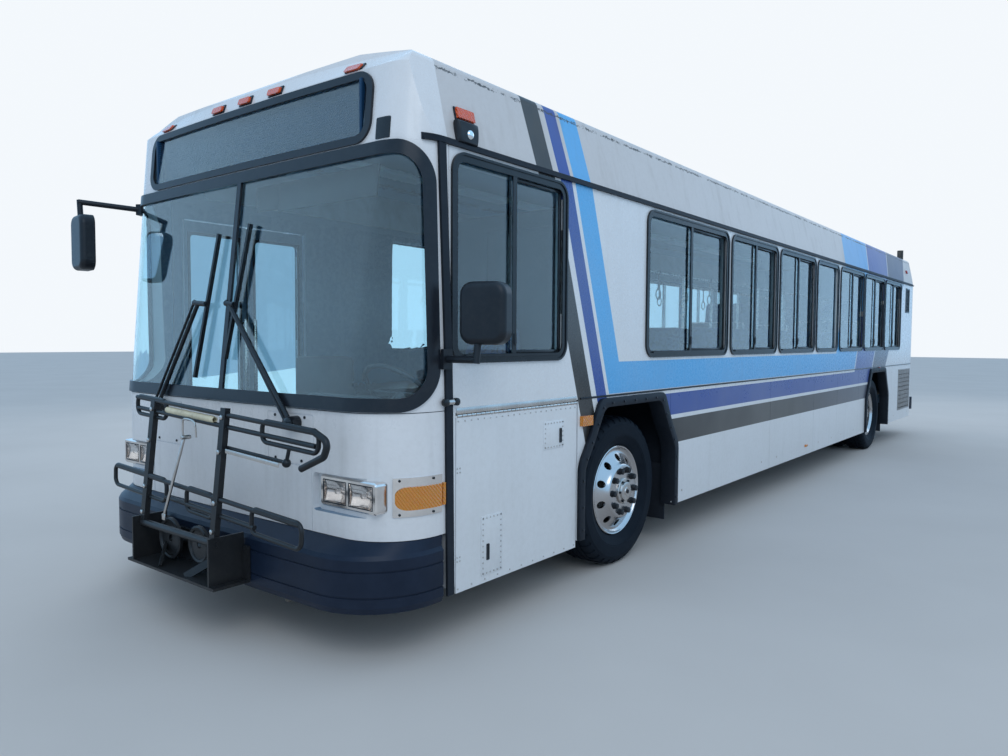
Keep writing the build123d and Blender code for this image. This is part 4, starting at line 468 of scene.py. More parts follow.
# %% Wheel alloy
alloy, alloy_tree, alloy_shader = new_finish("alloy", Metallic=1.0)
alloy_dirt = place_group(alloy_tree, road_dirt, Low_Dirt=0.06, Streaks=0.0, Mottle=0.06).outputs["Mask"]
alloy_grain = add_noise(alloy_tree, object_place(alloy_tree)[0], 90.0, 3.0, 0.6, (1, 0.2, 1))
feed_all(alloy_tree, alloy_shader,
         Base_Color=add_mix(alloy_tree, add_math(alloy_tree, "MULTIPLY", alloy_dirt, 0.7),
                            (0.57, 0.54, 0.53), (0.16, 0.15, 0.14)),
         Roughness=add_math(alloy_tree, "MULTIPLY_ADD", alloy_dirt, 0.4, 0.20, clamp=True),
         Normal=add_bump(alloy_tree, alloy_grain, 0.05, 0.001))

# %% [markdown]
# Tyre rubber is matte and a cool black, with a thin blue-grey film of dust. It is one more call of the
# function for plain finishes.

# %% Tyre rubber
tyre_rubber = make_plain("tyre_rubber", (0.004, 0.008, 0.014), (0.014, 0.020, 0.030), 0.60, 0.12, 130.0, 0.3, 0.12,
                         shine=0.10)


# %% [markdown]
# Glass keeps a plain Transmission Weight. The windshield is lightly blue, the side windows a shade
# darker, and the lamp glass is clear. Dust on the outside only changes the roughness a little.

# %% Glass
def make_glass(name, colour, rough, dust):
    """Clear or tinted glass with a film of dust."""
    material, tree, shader = new_finish(name, Transmission_Weight=1.0, IOR=1.60, Base_Color=colour)
    place = object_place(tree)[0]
    film = add_ramp(tree, add_noise(tree, place, 5.0, 4.0, 0.6, (1, 1, 0.5)), 0.45, 0.8, 0.0, dust)
    feed_all(tree, shader, Roughness=add_math(tree, "ADD", film, rough))
    return material


windshield_glass = make_glass("windshield_glass", (0.66, 0.90, 1.0), 0.0, 0.03)
tinted_glass = make_glass("tinted_glass", (0.64, 0.86, 0.98), 0.01, 0.03)
lamp_glass = make_glass("lamp_glass", (0.93, 0.95, 0.97), 0.02, 0.05)


def make_lens(name, colour, high_colour):
    """Coloured lamp plastic with fine slanted flutes."""
    material, tree, shader = new_finish(name, Coat_Weight=0.4, Coat_Roughness=0.05, Subsurface_Weight=0.2)
    place, _, _, height = object_place(tree)
    dirt = place_group(tree, road_dirt, Low_Dirt=0.10, Streaks=0.10, Mottle=0.10)
    # the lamps high on the body have a redder plastic than the turn lamps
    tint = add_mix(tree, add_ramp(tree, height, 1.0, 2.0), colour, high_colour)
    flutes = tree.nodes.new("ShaderNodeTexWave")
    flutes.bands_direction = "DIAGONAL"
    feed_all(tree, flutes, Vector=place, Scale=30.0)
    feed_all(tree, shader, Base_Color=add_mix(tree, dirt.outputs["Mask"], tint, (0.16, 0.13, 0.10)),
             Roughness=add_ramp(tree, add_noise(tree, place, 40.0, 3.0), 0.3, 0.7, 0.12, 0.30),
             Normal=add_bump(tree, flutes.outputs["Fac"], 0.7, 0.004))
    return material


amber = make_lens("amber", (0.72, 0.25, 0.012), (0.78, 0.10, 0.010))
red = make_lens("red", (0.42, 0.012, 0.010), (0.42, 0.012, 0.010))

# %% [markdown]
# Each frame piece now gets its finish. The table pairs a finish with the pieces that wear it.

# %% Dress the frame
FINISHES = (
    (body_paint, ("side_wall_left", "side_wall_right", "skirt_left", "skirt_right", "battery_door",
                  "front_door_fore", "front_door_aft", "rear_door_fore", "rear_door_aft")),
    (roof_paint, ("roof", "rear_cap", "engine_door", "roof_hatch_front", "roof_hatch_rear")),
    (front_paint, ("front_mask", "front_posts", "front_header")),
    (rubber, ("fenders", "drip_rails", "wheelhouses")),
    (gasket_rubber, ("front_gaskets",)),
    (frame_black, ("window_frames", "wipers", "vent_grilles")),
    (rack_black, ("rack_bracket", "bike_rack")),
    (bumper_skin, ("bumper_front", "bumper_rear")),
    (black_plastic, ("mirrors", "batteries")),
    (chassis_black, ("underframe", "rear_frame", "front_axle", "rear_axle", "knuckle_left", "knuckle_right",
                     "battery_box", "exhaust_stack")),
    (engine_cast, ("powertrain",)),
    (floor_sheet, ("floor_deck", "driver_platform")),
    (cab_plastic, ("driver_station", "passenger_seats", "driver_seat")),
    (steel, ("grab_rails",)),
    (chrome, ("headlamps",)),
    (lamp_glass, ("headlamp_lenses",)),
    (windshield_glass, ("windshield",)),
    (tinted_glass, ("window_glass",)),
    (amber, ("amber_lamps",)),
    (red, ("red_lamps",)),
    (alloy, ("rim_front_left", "rim_front_right", "rim_rear_left", "rim_rear_right")),
    (tyre_rubber, ("tyre_front_left", "tyre_front_right", "tyre_rear_left", "tyre_rear_right")),
)
for finish, names in FINISHES:
    for node_name in names:
        slots = NODES[node_name].material_slots
        for slot in slots:
            slot.material = finish
        if not slots:
            NODES[node_name].data.materials.append(finish)
print("dressed", sum(len(names) for _, names in FINISHES), "of", len(NODES), "nodes")

# %% [markdown]
# Now the modelling. Each added piece starts from a primitive, is shaped in edit mode and ends with its
# place in its mesh, so that patterns on Object coordinates stay put. These few helpers do what is
# done by hand each time: deselect all, add, bevel, recalculate normals, and hand the piece to its body.

# %% Modelling helpers
def begin():
    """Leave edit mode and deselect everything."""
    if bpy.context.object and bpy.context.object.mode != "OBJECT":
        bpy.ops.object.mode_set(mode="OBJECT")
    bpy.ops.object.select_all(action="DESELECT")


def close_edit():
    bpy.ops.object.mode_set(mode="OBJECT")


def activate(piece):
    """Select one piece alone and make it the active one."""
    begin()
    piece.select_set(True)
    bpy.context.view_layer.objects.active = piece


def edit_all(piece):
    """Open one piece in edit mode with all of it selected."""
    activate(piece)
    bpy.ops.object.mode_set(mode="EDIT")
    bpy.ops.mesh.select_all(action="SELECT")


def tidy_mesh(piece, merge=0.0001):
    """Merge the doubles of a piece and turn its faces outwards."""
    edit_all(piece)
    bpy.ops.mesh.remove_doubles(threshold=merge)
    bpy.ops.mesh.normals_make_consistent(inside=False)
    close_edit()


def select_faces(piece, wanted):
    """In edit mode, select only the faces that a test picks."""
    bpy.ops.mesh.select_all(action="DESELECT")
    bpy.ops.mesh.select_mode(type="FACE")
    close_edit()
    for face in piece.data.polygons:
        face.select = wanted(face)
    bpy.ops.object.mode_set(mode="EDIT")


def select_edges(piece, wanted):
    """In edit mode, select only the edges that a test on their two ends picks."""
    bpy.ops.mesh.select_mode(type="EDGE")
    bpy.ops.mesh.select_all(action="DESELECT")
    close_edit()
    for edge in piece.data.edges:
        edge.select = wanted(*(piece.data.vertices[index].co for index in edge.vertices))
    bpy.ops.object.mode_set(mode="EDIT")


def inset_faces(piece, wanted, thickness, depth):
    """Draw in the faces that a test picks, and push them out or in by a depth."""
    edit_all(piece)
    select_faces(piece, wanted)
    bpy.ops.mesh.inset(thickness=thickness, depth=depth)
    close_edit()
    return piece


def at(x, y, z):
    return Matrix.Translation((x, y, z))


def turned(degrees, axis):
    return Matrix.Rotation(math.radians(degrees), 4, axis)


def moved(piece, placing):
    """Move a piece's mesh by a matrix and leave its object at the origin."""
    piece.data.transform(placing)
    return piece


def rounded_block(name, size, place, bevel=0.004, segments=2, turn=None):
    """A block with bevelled edges at a place, optionally turned by a matrix."""
    begin()
    bpy.ops.mesh.primitive_cube_add(size=1)
    piece = bpy.context.object
    piece.name = name
    piece.data.transform(Matrix.Diagonal((*size, 1)))
    if bevel:
        edit_all(piece)
        bpy.ops.mesh.bevel(offset=bevel, segments=segments, affect="EDGES")
        close_edit()
    if turn is not None:
        piece.data.transform(turn)
    piece.data.transform(Matrix.Translation(place))
    return piece


def rod(name, start, end, radius, sides=16, bevel=0.0):
    """A round bar from one point to another."""
    begin()
    a = Vector(start)
    b = Vector(end)
    bpy.ops.mesh.primitive_cylinder_add(vertices=sides, radius=radius, depth=(b - a).length)
    piece = bpy.context.object
    piece.name = name
    if bevel:
        edit_all(piece)
        select_faces(piece, lambda face: abs(face.normal.z) > 0.9)
        bpy.ops.mesh.bevel(offset=bevel, segments=2, affect="EDGES")
        close_edit()
    turn = (b - a).to_track_quat("Z", "Y").to_matrix().to_4x4()
    piece.data.transform(Matrix.Translation((a + b) / 2) @ turn)
    return piece


def lathe(name, profile, steps, axis_place, axis=(1, 0, 0)):
    """Spin a profile of (distance along the axis, radius) round an axis."""
    begin()
    bpy.ops.mesh.primitive_plane_add(size=0.001)
    piece = bpy.context.object
    piece.name = name
    bpy.ops.object.mode_set(mode="EDIT")
    bpy.ops.mesh.select_mode(type="VERT")
    bpy.ops.mesh.select_all(action="SELECT")
    bpy.ops.mesh.merge(type="CENTER")
    first = profile[0]
    bpy.ops.transform.translate(value=(first[0], 0, first[1]))
    last = first
    for point in profile[1:]:
        bpy.ops.mesh.extrude_region_move(
            TRANSFORM_OT_translate={"value": (point[0] - last[0], 0, point[1] - last[1])})
        last = point
    bpy.ops.mesh.select_all(action="SELECT")
    bpy.ops.mesh.spin(steps=steps, angle=math.tau, center=(0, 0, 0), axis=(1, 0, 0))
    close_edit()
    turn = Vector(axis).to_track_quat("X", "Z").to_matrix().to_4x4()
    piece.data.transform(Matrix.Translation(axis_place) @ turn)
    tidy_mesh(piece, 0.00002)
    return piece


def twin_of(piece, placing=None):
    """A copy of a piece with its own mesh, moved by a matrix, and turned right side out if that mirrors it."""
    twin = piece.copy()
    twin.data = piece.data.copy()
    if placing is not None:
        twin.data.transform(placing)
        if placing.determinant() < 0:
            twin.data.flip_normals()
    bpy.context.scene.collection.objects.link(twin)
    return twin


def copies(master, name, placings):
    """Copies of a piece, each with its own mesh, joined into one piece."""
    made = [twin_of(master, placing) for placing in placings]
    bpy.data.objects.remove(master)
    return joined(name, made)


def joined(name, pieces):
    """Several pieces made into one with a new name."""
    begin()
    for piece in pieces:
        piece.select_set(True)
    bpy.context.view_layer.objects.active = pieces[0]
    if len(pieces) > 1:
        bpy.ops.object.join()
    pieces[0].name = name
    return pieces[0]


def hand_over(piece, finish, body="body", slot=None, degrees=35):
    """Dress a finished piece, smooth it and let it ride on a body. Its slot argument is not used."""
    piece.data.materials.clear()
    piece.data.materials.append(finish)
    activate(piece)
    bpy.ops.object.shade_smooth_by_angle(angle=math.radians(degrees))
    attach(piece, body)
    # Blender puts a number behind a name that the frame already uses, such as steel.001
    slot = slot or finish.name.split(".")[0]
    return piece


def finish_modifier(piece, name):
    """Apply a modifier to its piece."""
    activate(piece)
    bpy.ops.object.modifier_apply(modifier=name)


def soften(piece, levels=2):
    """Round a piece with a subdivision surface."""
    rounding = piece.modifiers.new("rounding", "SUBSURF")
    rounding.levels = levels
    rounding.render_levels = levels
    finish_modifier(piece, "rounding")
    return piece


def cut_away(piece, cutter):
    """Take a cutter's shape out of a piece."""
    cut = piece.modifiers.new("cut", "BOOLEAN")
    cut.operation = "DIFFERENCE"
    cut.object = cutter
    finish_modifier(piece, "cut")
    bpy.data.objects.remove(cutter)


def round_axle(count, radius, first=0.0):
    """(y, z) from an axle to even places on a ring round it, the first turned by a part of a step."""
    angles = [math.tau * (index + first) / count for index in range(count)]
    return [(radius * math.cos(angle), radius * math.sin(angle)) for angle in angles]


print("helpers ready")

# %% [markdown]
# A bus tyre has four straight grooves round its tread, lugs on its shoulders and thin rings on its
# side wall. The section is drawn once and spun round the axle; then every third step of the two
# shoulder ribs is pushed in, which leaves the lugs. The same tyre serves all six places.

# %% Tyres
TYRE_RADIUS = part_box("tyre_front_left")[1][2] - HUB_Z
TYRE_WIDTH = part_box("tyre_front_left")[1][0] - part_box("tyre_front_left")[0][0]
RIM_RADIUS = 0.302
TREAD_STEPS = 120
GROOVE_DEEP = 0.012
half_tread = 0.37 * TYRE_WIDTH
half_side = 0.5 * TYRE_WIDTH


def tyre_section():
    """Right half of the tyre's outline from the tread's middle to the bead."""
    crown = TYRE_RADIUS - 0.001
    points = []
    for middle in (0.026, 0.068):
        points += [(middle - 0.006, crown), (middle - 0.003, crown - GROOVE_DEEP),
                   (middle + 0.003, crown - GROOVE_DEEP), (middle + 0.006, crown)]
    points += [(half_tread, crown - 0.003), (half_tread + 0.017, crown - 0.014),
               (half_side - 0.008, crown - 0.034), (half_side - 0.006, crown - 0.050),
               (half_side - 0.003, crown - 0.053), (half_side - 0.001, crown - 0.100),
               (half_side - 0.003, crown - 0.122), (half_side - 0.006, crown - 0.124),
               (half_side - 0.006, crown - 0.130), (half_side - 0.011, crown - 0.134),
               (half_side - 0.022, crown - 0.168), (half_side - 0.026, crown - 0.172),
               (half_side - 0.032, crown - 0.184), (0.36 * TYRE_WIDTH, RIM_RADIUS + 0.004)]
    return points


right_half = tyre_section()
outline = [(-x, r) for x, r in reversed(right_half)] + right_half
tyre_master = lathe("tyre_master", outline + [outline[0]], TREAD_STEPS, (0, 0, 0))


def is_lug_gap(face):
    """Shoulder faces of every third step round the tread."""
    middle = face.center
    radius = math.hypot(middle.y, middle.z)
    step = round((math.atan2(middle.z, middle.y) % math.tau) / math.tau * TREAD_STEPS - 0.5)
    on_shoulder = 0.076 < abs(middle.x) < half_side - 0.010 and radius > TYRE_RADIUS - 0.030
    return on_shoulder and step % 3 == 0


edit_all(tyre_master)
select_faces(tyre_master, is_lug_gap)
bpy.ops.mesh.extrude_region_shrink_fatten(TRANSFORM_OT_shrink_fatten={"value": -0.005})
close_edit()

for axle, count in (("front", 1), ("rear", 2)):
    for side_name, _ in SIDES:
        wheel_name = axle + "_" + side_name
        node_name = "tyre_" + wheel_name
        low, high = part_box(node_name)
        pitch = (high[0] - low[0] - TYRE_WIDTH) / max(1, count - 1)
        places = [at(low[0] + TYRE_WIDTH / 2 + index * pitch, (low[1] + high[1]) / 2, HUB_Z)
                  for index in range(count)]
        tyre = copies(twin_of(tyre_master), "tyre_tread_" + wheel_name, places)
        hand_over(tyre, tyre_rubber, "wheel_" + wheel_name, "tyre", 40)
        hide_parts(node_name)
bpy.data.objects.remove(tyre_master)
print("tyres: 6 of", len(outline) * TREAD_STEPS, "faces")

# %% [markdown]
# The front wheels' discs bulge outwards past the rim, which the frame's plain dished disc doesn't
# show. The whole section, from the outer lip over the bulge and back round the barrel, is spun round
# the axle, and ten hand holes are cut through the slope.

# %% Front wheels
WHEEL_X = 1.090
FRONT_FACE = 0.160
LIP_X = 0.109
FRONT_SECTION = (
    (LIP_X, 0.3015), (0.113, 0.297), (0.111, 0.290), (0.099, 0.283), (0.091, 0.272), (0.090, 0.262),
    (0.095, 0.250), (0.108, 0.230), (0.128, 0.203), (0.143, 0.188), (0.152, 0.183), (0.158, 0.177),
    (FRONT_FACE, 0.170), (FRONT_FACE, 0.078), (0.146, 0.078), (0.146, 0.168), (0.134, 0.178), (0.116, 0.196),
    (0.094, 0.224), (0.078, 0.250), (0.060, 0.262), (-0.078, 0.262), (-0.092, 0.276), (-0.111, 0.288),
    (-0.113, 0.297), (-LIP_X, 0.3015), (-0.094, 0.296), (-0.074, 0.272), (0.070, 0.272), (0.094, 0.296),
    (LIP_X, 0.3015))
HUB_SECTION = (
    (0.140, 0.086), (0.170, 0.086), (0.174, 0.082), (0.176, 0.066), (0.186, 0.062), (0.188, 0.056),
    (0.189, 0.030), (0.194, 0.026), (0.195, 0.0), (0.140, 0.0))
HAND_HOLES = 10
HOLE_CIRCLE = 0.221
HUB_BOLTS = 6
BOLT_CIRCLE = 0.073


def along_axle(name, side, start, end, spot, radius, sides, bevel=0.0):
    """A bar along a front axle, from start to end outwards of the tyre's middle, (y, z) off the axle."""
    y, z = FRONT_AXLE_Y + spot[0], HUB_Z + spot[1]
    return rod(name, (side * (WHEEL_X + start), y, z), (side * (WHEEL_X + end), y, z), radius, sides, bevel)


for side_name, side in SIDES:
    rider = "wheel_front_" + side_name
    wheel_middle = (side * WHEEL_X, FRONT_AXLE_Y, HUB_Z)
    wheel = lathe("front_wheel_" + side_name, [(side * x, radius) for x, radius in FRONT_SECTION], 96, wheel_middle)
    cut_away(wheel, joined("holes", [along_axle("hole", side, 0.070, 0.190, spot, 0.025, 24)
                                     for spot in round_axle(HAND_HOLES, HOLE_CIRCLE, 0.5)]))
    hand_over(wheel, alloy, rider, degrees=30)
    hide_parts("rim_front_" + side_name)
    hub = lathe("front_hub_" + side_name, [(side * x, radius) for x, radius in HUB_SECTION], 48, wheel_middle)
    hand_over(hub, steel, rider)
    bolts = [along_axle("bolt", side, 0.170, 0.186, spot, 0.008, 6, 0.001)
             for spot in round_axle(HUB_BOLTS, BOLT_CIRCLE)]
    bolts.append(along_axle("plug", side, 0.190, 0.200, (0, 0), 0.015, 6, 0.002))
    hand_over(joined("hub_bolts_" + side_name, bolts), black_plastic, rider)
print("front wheels ready")

# %% [markdown]
# Ten studs hold each wheel. At the front each nut wears a black cap with a round flange; at the rear a
# nut is a bare six-sided bar with a washer under it and a stud end in it. The valve is a short steel
# stem.

# %% Wheel nuts
def make_nut(name, outward):
    """A flanged wheel nut that points along x."""
    parts = [rod(name, (0, 0, 0), (outward * 0.026, 0, 0), 0.0165, 6, 0.002),
             rod("washer", (0, 0, 0), (outward * 0.006, 0, 0), 0.021, 20, 0.001),
             rod("stud", (0, 0, 0), (outward * 0.038, 0, 0), 0.0095, 12, 0.001)]
    return joined(name, parts)


def make_cap(name, outward):
    """A domed cap over a nut, with a flange."""
    parts = [rod(name, (0, 0, 0), (outward * 0.030, 0, 0), 0.0195, 8, 0.004),
             rod("flange", (0, 0, 0), (outward * 0.008, 0, 0), 0.0225, 20, 0.002)]
    return joined(name, parts)


REAR_FACE = -0.030
WHEEL_STUDS = 10
STUD_CIRCLE = 0.1425
# axle, its y, place of the disc's face from the tyre's middle, maker, finish and slot
NUT_RINGS = (("front", FRONT_AXLE_Y, FRONT_FACE, make_cap, black_plastic, "black_plastic"),
             ("rear", REAR_AXLE_Y, REAR_FACE, make_nut, steel, "steel"))
for axle, wheel_y, face_x, make, finish, slot in NUT_RINGS:
    for side_name, side in SIDES:
        wheel_name = axle + "_" + side_name
        spots = [at(side * (WHEEL_X + face_x - 0.002), wheel_y + y, HUB_Z + z)
                 for y, z in round_axle(WHEEL_STUDS, STUD_CIRCLE)]
        nuts = copies(make("nut", side), "wheel_nuts_" + wheel_name, spots)
        hand_over(nuts, finish, "wheel_" + wheel_name, slot)
        valve = rod("valve_" + wheel_name, (side * (WHEEL_X + 0.060), wheel_y + 0.245, HUB_Z + 0.05),
                    (side * (WHEEL_X + 0.112), wheel_y + 0.235, HUB_Z + 0.045), 0.005, 10, 0.001)
        hand_over(valve, steel, "wheel_" + wheel_name)
print("wheel nuts: 40")

# %% [markdown]
# The fender over each wheel is a thick moulding, whose corners are round. The frame's piece has sharp
# ones, so a copy of it is merged, its flat faces are made whole, and the edges that run across the bus
# at its corners are bevelled with a large radius. Its rims then get a small one.

# %% Fenders
FENDER_CORNER = 0.045
FENDER_RIM = 0.006


def runs_across(a, b):
    """An edge of a fender's corner, above the skirt's lower line, that runs straight across the bus."""
    along = b - a
    return abs(along.x) > 0.010 and abs(along.x) > 0.999 * along.length and a.z > 0.50


moulded = twin_of(NODES["fenders"])
moulded.parent = None
moulded.name = "moulded_fenders"
tidy_mesh(moulded, 0.00005)
edit_all(moulded)
bpy.ops.mesh.dissolve_limited(angle_limit=math.radians(1))
select_edges(moulded, runs_across)
bpy.ops.mesh.bevel(offset=FENDER_CORNER, segments=5, affect="EDGES", clamp_overlap=True)
close_edit()
rims = moulded.modifiers.new("rims", "BEVEL")
rims.width = FENDER_RIM
rims.segments = 2
rims.limit_method = "ANGLE"
rims.angle_limit = math.radians(50)
finish_modifier(moulded, "rims")
hand_over(moulded, rubber, "body", degrees=30)
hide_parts("fenders")
print("fenders:", len(moulded.data.polygons), "faces")

# %% [markdown]
# Woven moquette: a blue cloth with small darker flecks, and a fine weave as bump. The weave is two
# crossed waves, and noise varies the colour, so the cloth doesn't look printed.

# %% Seat cloth
seat_cloth, cloth_tree, cloth_shader = new_finish("seat_cloth", Roughness=0.85, Sheen_Weight=0.3)
cloth_place = object_place(cloth_tree)[0]
fleck = add_ramp(cloth_tree, add_noise(cloth_tree, cloth_place, 46.0, 2.0), 0.52, 0.56)
cloth_shade = add_mix(cloth_tree, fleck, (0.030, 0.065, 0.19), (0.010, 0.014, 0.035))
worn = add_ramp(cloth_tree, add_noise(cloth_tree, cloth_place, 4.0, 3.0), 0.4, 0.8, 0.0, 0.35)
weave_heights = []
for direction in ("X", "Z"):
    wave = cloth_tree.nodes.new("ShaderNodeTexWave")
    wave.bands_direction = direction
    feed_all(cloth_tree, wave, Vector=cloth_place, Scale=260.0)
    weave_heights.append(wave.outputs["Fac"])
feed_all(cloth_tree, cloth_shader, Base_Color=add_mix(cloth_tree, worn, cloth_shade, (0.06, 0.09, 0.19)),
         Normal=add_bump(cloth_tree, add_math(cloth_tree, "MULTIPLY", *weave_heights), 0.4, 0.0006))

# %% [markdown]
# A passenger seat is a moulded shell with a thin cushion and a back pad, two to a frame. The pad is a
# block that is subdivided, pulled in at its rim and crowned in the middle, then rounded by a
# subdivision surface. It is modelled once and copied to every place.

# %% Passenger seats
def make_pad(name, width, length, thick, crown):
    """A crowned pad lying flat: its middle stands proud and its sides pull in."""
    begin()
    bpy.ops.mesh.primitive_cube_add(size=1)
    pad = bpy.context.object
    pad.name = name
    pad.data.transform(Matrix.Diagonal((width, length, thick, 1)))
    edit_all(pad)
    bpy.ops.mesh.subdivide(number_cuts=5)
    close_edit()
    for vertex in pad.data.vertices:
        across = 2 * vertex.co.x / width
        along = 2 * vertex.co.y / length
        dome = (1 - across ** 4) * (1 - along ** 4)
        vertex.co.z += crown * dome if vertex.co.z > 0 else 0
        vertex.co.x *= 1 - 0.020 * (1 - along ** 2)
        vertex.co.y *= 1 - 0.020 * (1 - across ** 2)
    return soften(pad, 1)


PAIR_WIDTH = 0.86
PAIR_LENGTH = 0.53


def seat_spots():
    """Place of each pair of seats, read from the solids of the frame's own seats."""
    node = NODES["passenger_seats"]
    groups = {}
    for vertex in node.data.vertices:
        side = 1 if vertex.co.x > 0 else -1
        groups.setdefault(side, set()).add(round(vertex.co.y, 3))
    spots = []
    for side, stations in groups.items():
        ordered = sorted(stations)
        start = ordered[0]
        while start is not None:
            group = [vertex.co for vertex in node.data.vertices
                     if vertex.co.x * side > 0 and start - 0.001 <= vertex.co.y <= start + PAIR_LENGTH]
            spots.append((side, start, min(point.z for point in group)))
            later = [y for y in ordered if y > start + PAIR_LENGTH]
            start = later[0] if later else None
    return spots


PAIRS = seat_spots()
middle_x = SKIN_X - 0.060 - 0.025 - PAIR_WIDTH / 2
shells = []
cushions = []
back_pads = []
# the backrests lean back about a line over the pan's rear edge
HINGE_LINE = (0.452, 0.44)
leaning = at(0, *HINGE_LINE) @ turned(-9.5, "X")
for offset in (-0.215, 0.215):
    shells.append(rounded_block("pan", (0.41, 0.42, 0.030), (offset, 0.215, 0.425), 0.012, 3))
    shells.append(moved(rounded_block("shell_back", (0.40, 0.026, 0.50), (offset, 0.470, 0.685), 0.012, 3),
                        leaning @ at(0, -HINGE_LINE[0], -HINGE_LINE[1])))
    cushions.append(moved(make_pad("cushion", 0.375, 0.375, 0.030, 0.016), at(offset, 0.215, 0.448)))
    back_pads.append(moved(make_pad("back_pad", 0.350, 0.42, 0.022, 0.014),
                           leaning @ at(offset, 0.446, 0.680) @ turned(90, "X")))
shells.append(rounded_block("beam", (0.80, 0.055, 0.040), (0, 0.20, 0.390), 0.006))
shells.append(rounded_block("leg", (0.045, 0.14, 0.385), (-0.29, 0.20, 0.195), 0.006))
shells.append(rounded_block("foot", (0.075, 0.30, 0.012), (-0.29, 0.20, 0.007), 0.003))
grab_bars = [rod("grab", (-0.405, 0.515, 0.935), (0.405, 0.515, 0.935), 0.011, 12)]
grab_bars += [rod("upright", (x, 0.475, 0.60), (x, 0.515, 0.935), 0.011, 12) for x in (-0.405, 0.405)]

# a pair on the door's side is mirrored, so that its leg stands on the aisle's side as well
seat_placings = [at(side * middle_x, y - 0.005, floor_z) @ Matrix.Diagonal((side, 1, 1, 1))
                 for side, y, floor_z in PAIRS]
SEAT_PARTS = (("seat_shells", shells, cab_plastic, "interior", 35),
              ("seat_cushions", cushions, seat_cloth, "seat", 60),
              ("seat_back_pads", back_pads, seat_cloth, "seat", 60),
              ("seat_grab_bars", grab_bars, steel, "steel", 35))
seat_shells, seat_cushions, seat_backs, _ = [
    hand_over(copies(joined("pair", pieces), name, seat_placings), finish, "body", slot, degrees)
    for name, pieces, finish, slot, degrees in SEAT_PARTS]
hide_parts("passenger_seats")
print("seat pairs:", len(PAIRS))

# %% [markdown]
# The driver's seat is a high-backed chair with a head rest, on a bellows pedestal. Its three pads are
# made like those of the passengers' seats, and its bellows are five blocks of two widths.

# %% Driver's seat
seat_low, seat_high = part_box("driver_seat")
seat_x = (seat_low[0] + seat_high[0]) / 2
seat_y = seat_low[1]
seat_z = seat_low[2]
chair_cushion = moved(make_pad("driver_cushion", 0.40, 0.40, 0.075, 0.025),
                      at(seat_x, seat_y + 0.215, seat_z + 0.350))
lean_back = at(seat_x, seat_y + 0.455, seat_z + 0.40) @ turned(-8, "X")
chair_back = moved(make_pad("driver_back", 0.39, 0.56, 0.070, 0.020), lean_back @ at(0, 0, 0.26) @ turned(90, "X"))
head_pad = moved(make_pad("head_pad", 0.25, 0.12, 0.060, 0.012),
                 lean_back @ at(0, -0.010, 0.585) @ turned(90, "X"))
chair_pads = joined("driver_pads", [chair_cushion, chair_back, head_pad])
hand_over(chair_pads, seat_cloth, "body", "seat", 60)
chair_parts = [rounded_block("chair_base", (0.36, 0.36, 0.045), (seat_x, seat_y + 0.215, seat_z + 0.285), 0.010),
               rounded_block("chair_foot", (0.30, 0.30, 0.020), (seat_x, seat_y + 0.215, seat_z + 0.011), 0.004)]
for index in range(5):
    wide = 0.24 - 0.02 * (index % 2)
    chair_parts.append(rounded_block("bellows", (wide, wide, 0.050),
                                     (seat_x, seat_y + 0.215, seat_z + 0.045 + 0.048 * index), 0.012))
chair = joined("driver_chair", chair_parts)
hand_over(chair, black_plastic, "body", "seat")
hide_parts("driver_seat")
print("driver's seat at", [round(v, 3) for v in (seat_x, seat_y, seat_z)])

# %% [markdown]
# Behind each headlamp's lens sits a bright bowl with a lamp in its middle. The bowl is a round dish
# cut square by its housing, so a square plate is subdivided, pressed into a paraboloid and given a wall.
# A slim black frame runs round each lens.

# %% Headlamp bowls
LENS_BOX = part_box("headlamp_lenses")
LENS_MIDDLE_Z = (LENS_BOX[0][2] + LENS_BOX[1][2]) / 2
LENS_FACE_Y = LENS_BOX[0][1]
LENS_WIDE = 0.160
LENS_TALL = 0.104
LENS_STEP = 0.184
LENS_XS = (LENS_BOX[1][0] - LENS_WIDE / 2, LENS_BOX[1][0] - LENS_WIDE / 2 - LENS_STEP)


def make_bowl():
    """A reflector pressed out of a subdivided plate, open towards the front."""
    begin()
    bpy.ops.mesh.primitive_grid_add(x_subdivisions=28, y_subdivisions=20, size=1)
    bowl = bpy.context.object
    bowl.name = "bowl"
    bowl.data.transform(Matrix.Diagonal((LENS_WIDE - 0.004, LENS_TALL - 0.004, 1, 1)))
    for vertex in bowl.data.vertices:
        away = math.hypot(vertex.co.x * 0.80, vertex.co.y * 1.1) / (LENS_WIDE / 2)
        vertex.co.z = min(0.0, -0.030 + 0.030 * away ** 2)
    thick = bowl.modifiers.new("thick", "SOLIDIFY")
    thick.thickness = 0.0015
    thick.offset = -1
    finish_modifier(bowl, "thick")
    return moved(bowl, turned(90, "X"))


def lens_spots(y):
    """The middles of the four lenses, at a depth."""
    return [at(side * x, y, LENS_MIDDLE_Z) for side in (1, -1) for x in LENS_XS]


bowls = copies(make_bowl(), "lamp_bowls", lens_spots(LENS_FACE_Y + 0.0085))
hand_over(bowls, chrome, "body", degrees=50)
bulb = lathe("bulb", [(0.034, 0.0), (0.030, 0.010), (0.018, 0.0125), (0.008, 0.0105), (0.0, 0.0055), (0.0, 0.0)],
             20, (0, 0, 0), (0, -1, 0))
bulbs = copies(bulb, "lamp_bulbs", lens_spots(LENS_FACE_Y + 0.040))
hand_over(bulbs, lamp_glass)
rim = rounded_block("rim", (LENS_WIDE + 0.008, 0.006, 0.006), (0, 0, LENS_TALL / 2 + 0.002), 0.002)
side_rim = rounded_block("side_rim", (0.006, 0.006, LENS_TALL + 0.008), (LENS_WIDE / 2 + 0.002, 0, 0), 0.002)
frame_parts = [twin_of(part, turning) for turning in (Matrix.Identity(4), turned(180, "Y"))
               for part in (rim, side_rim)]
for part in (rim, side_rim):
    bpy.data.objects.remove(part)
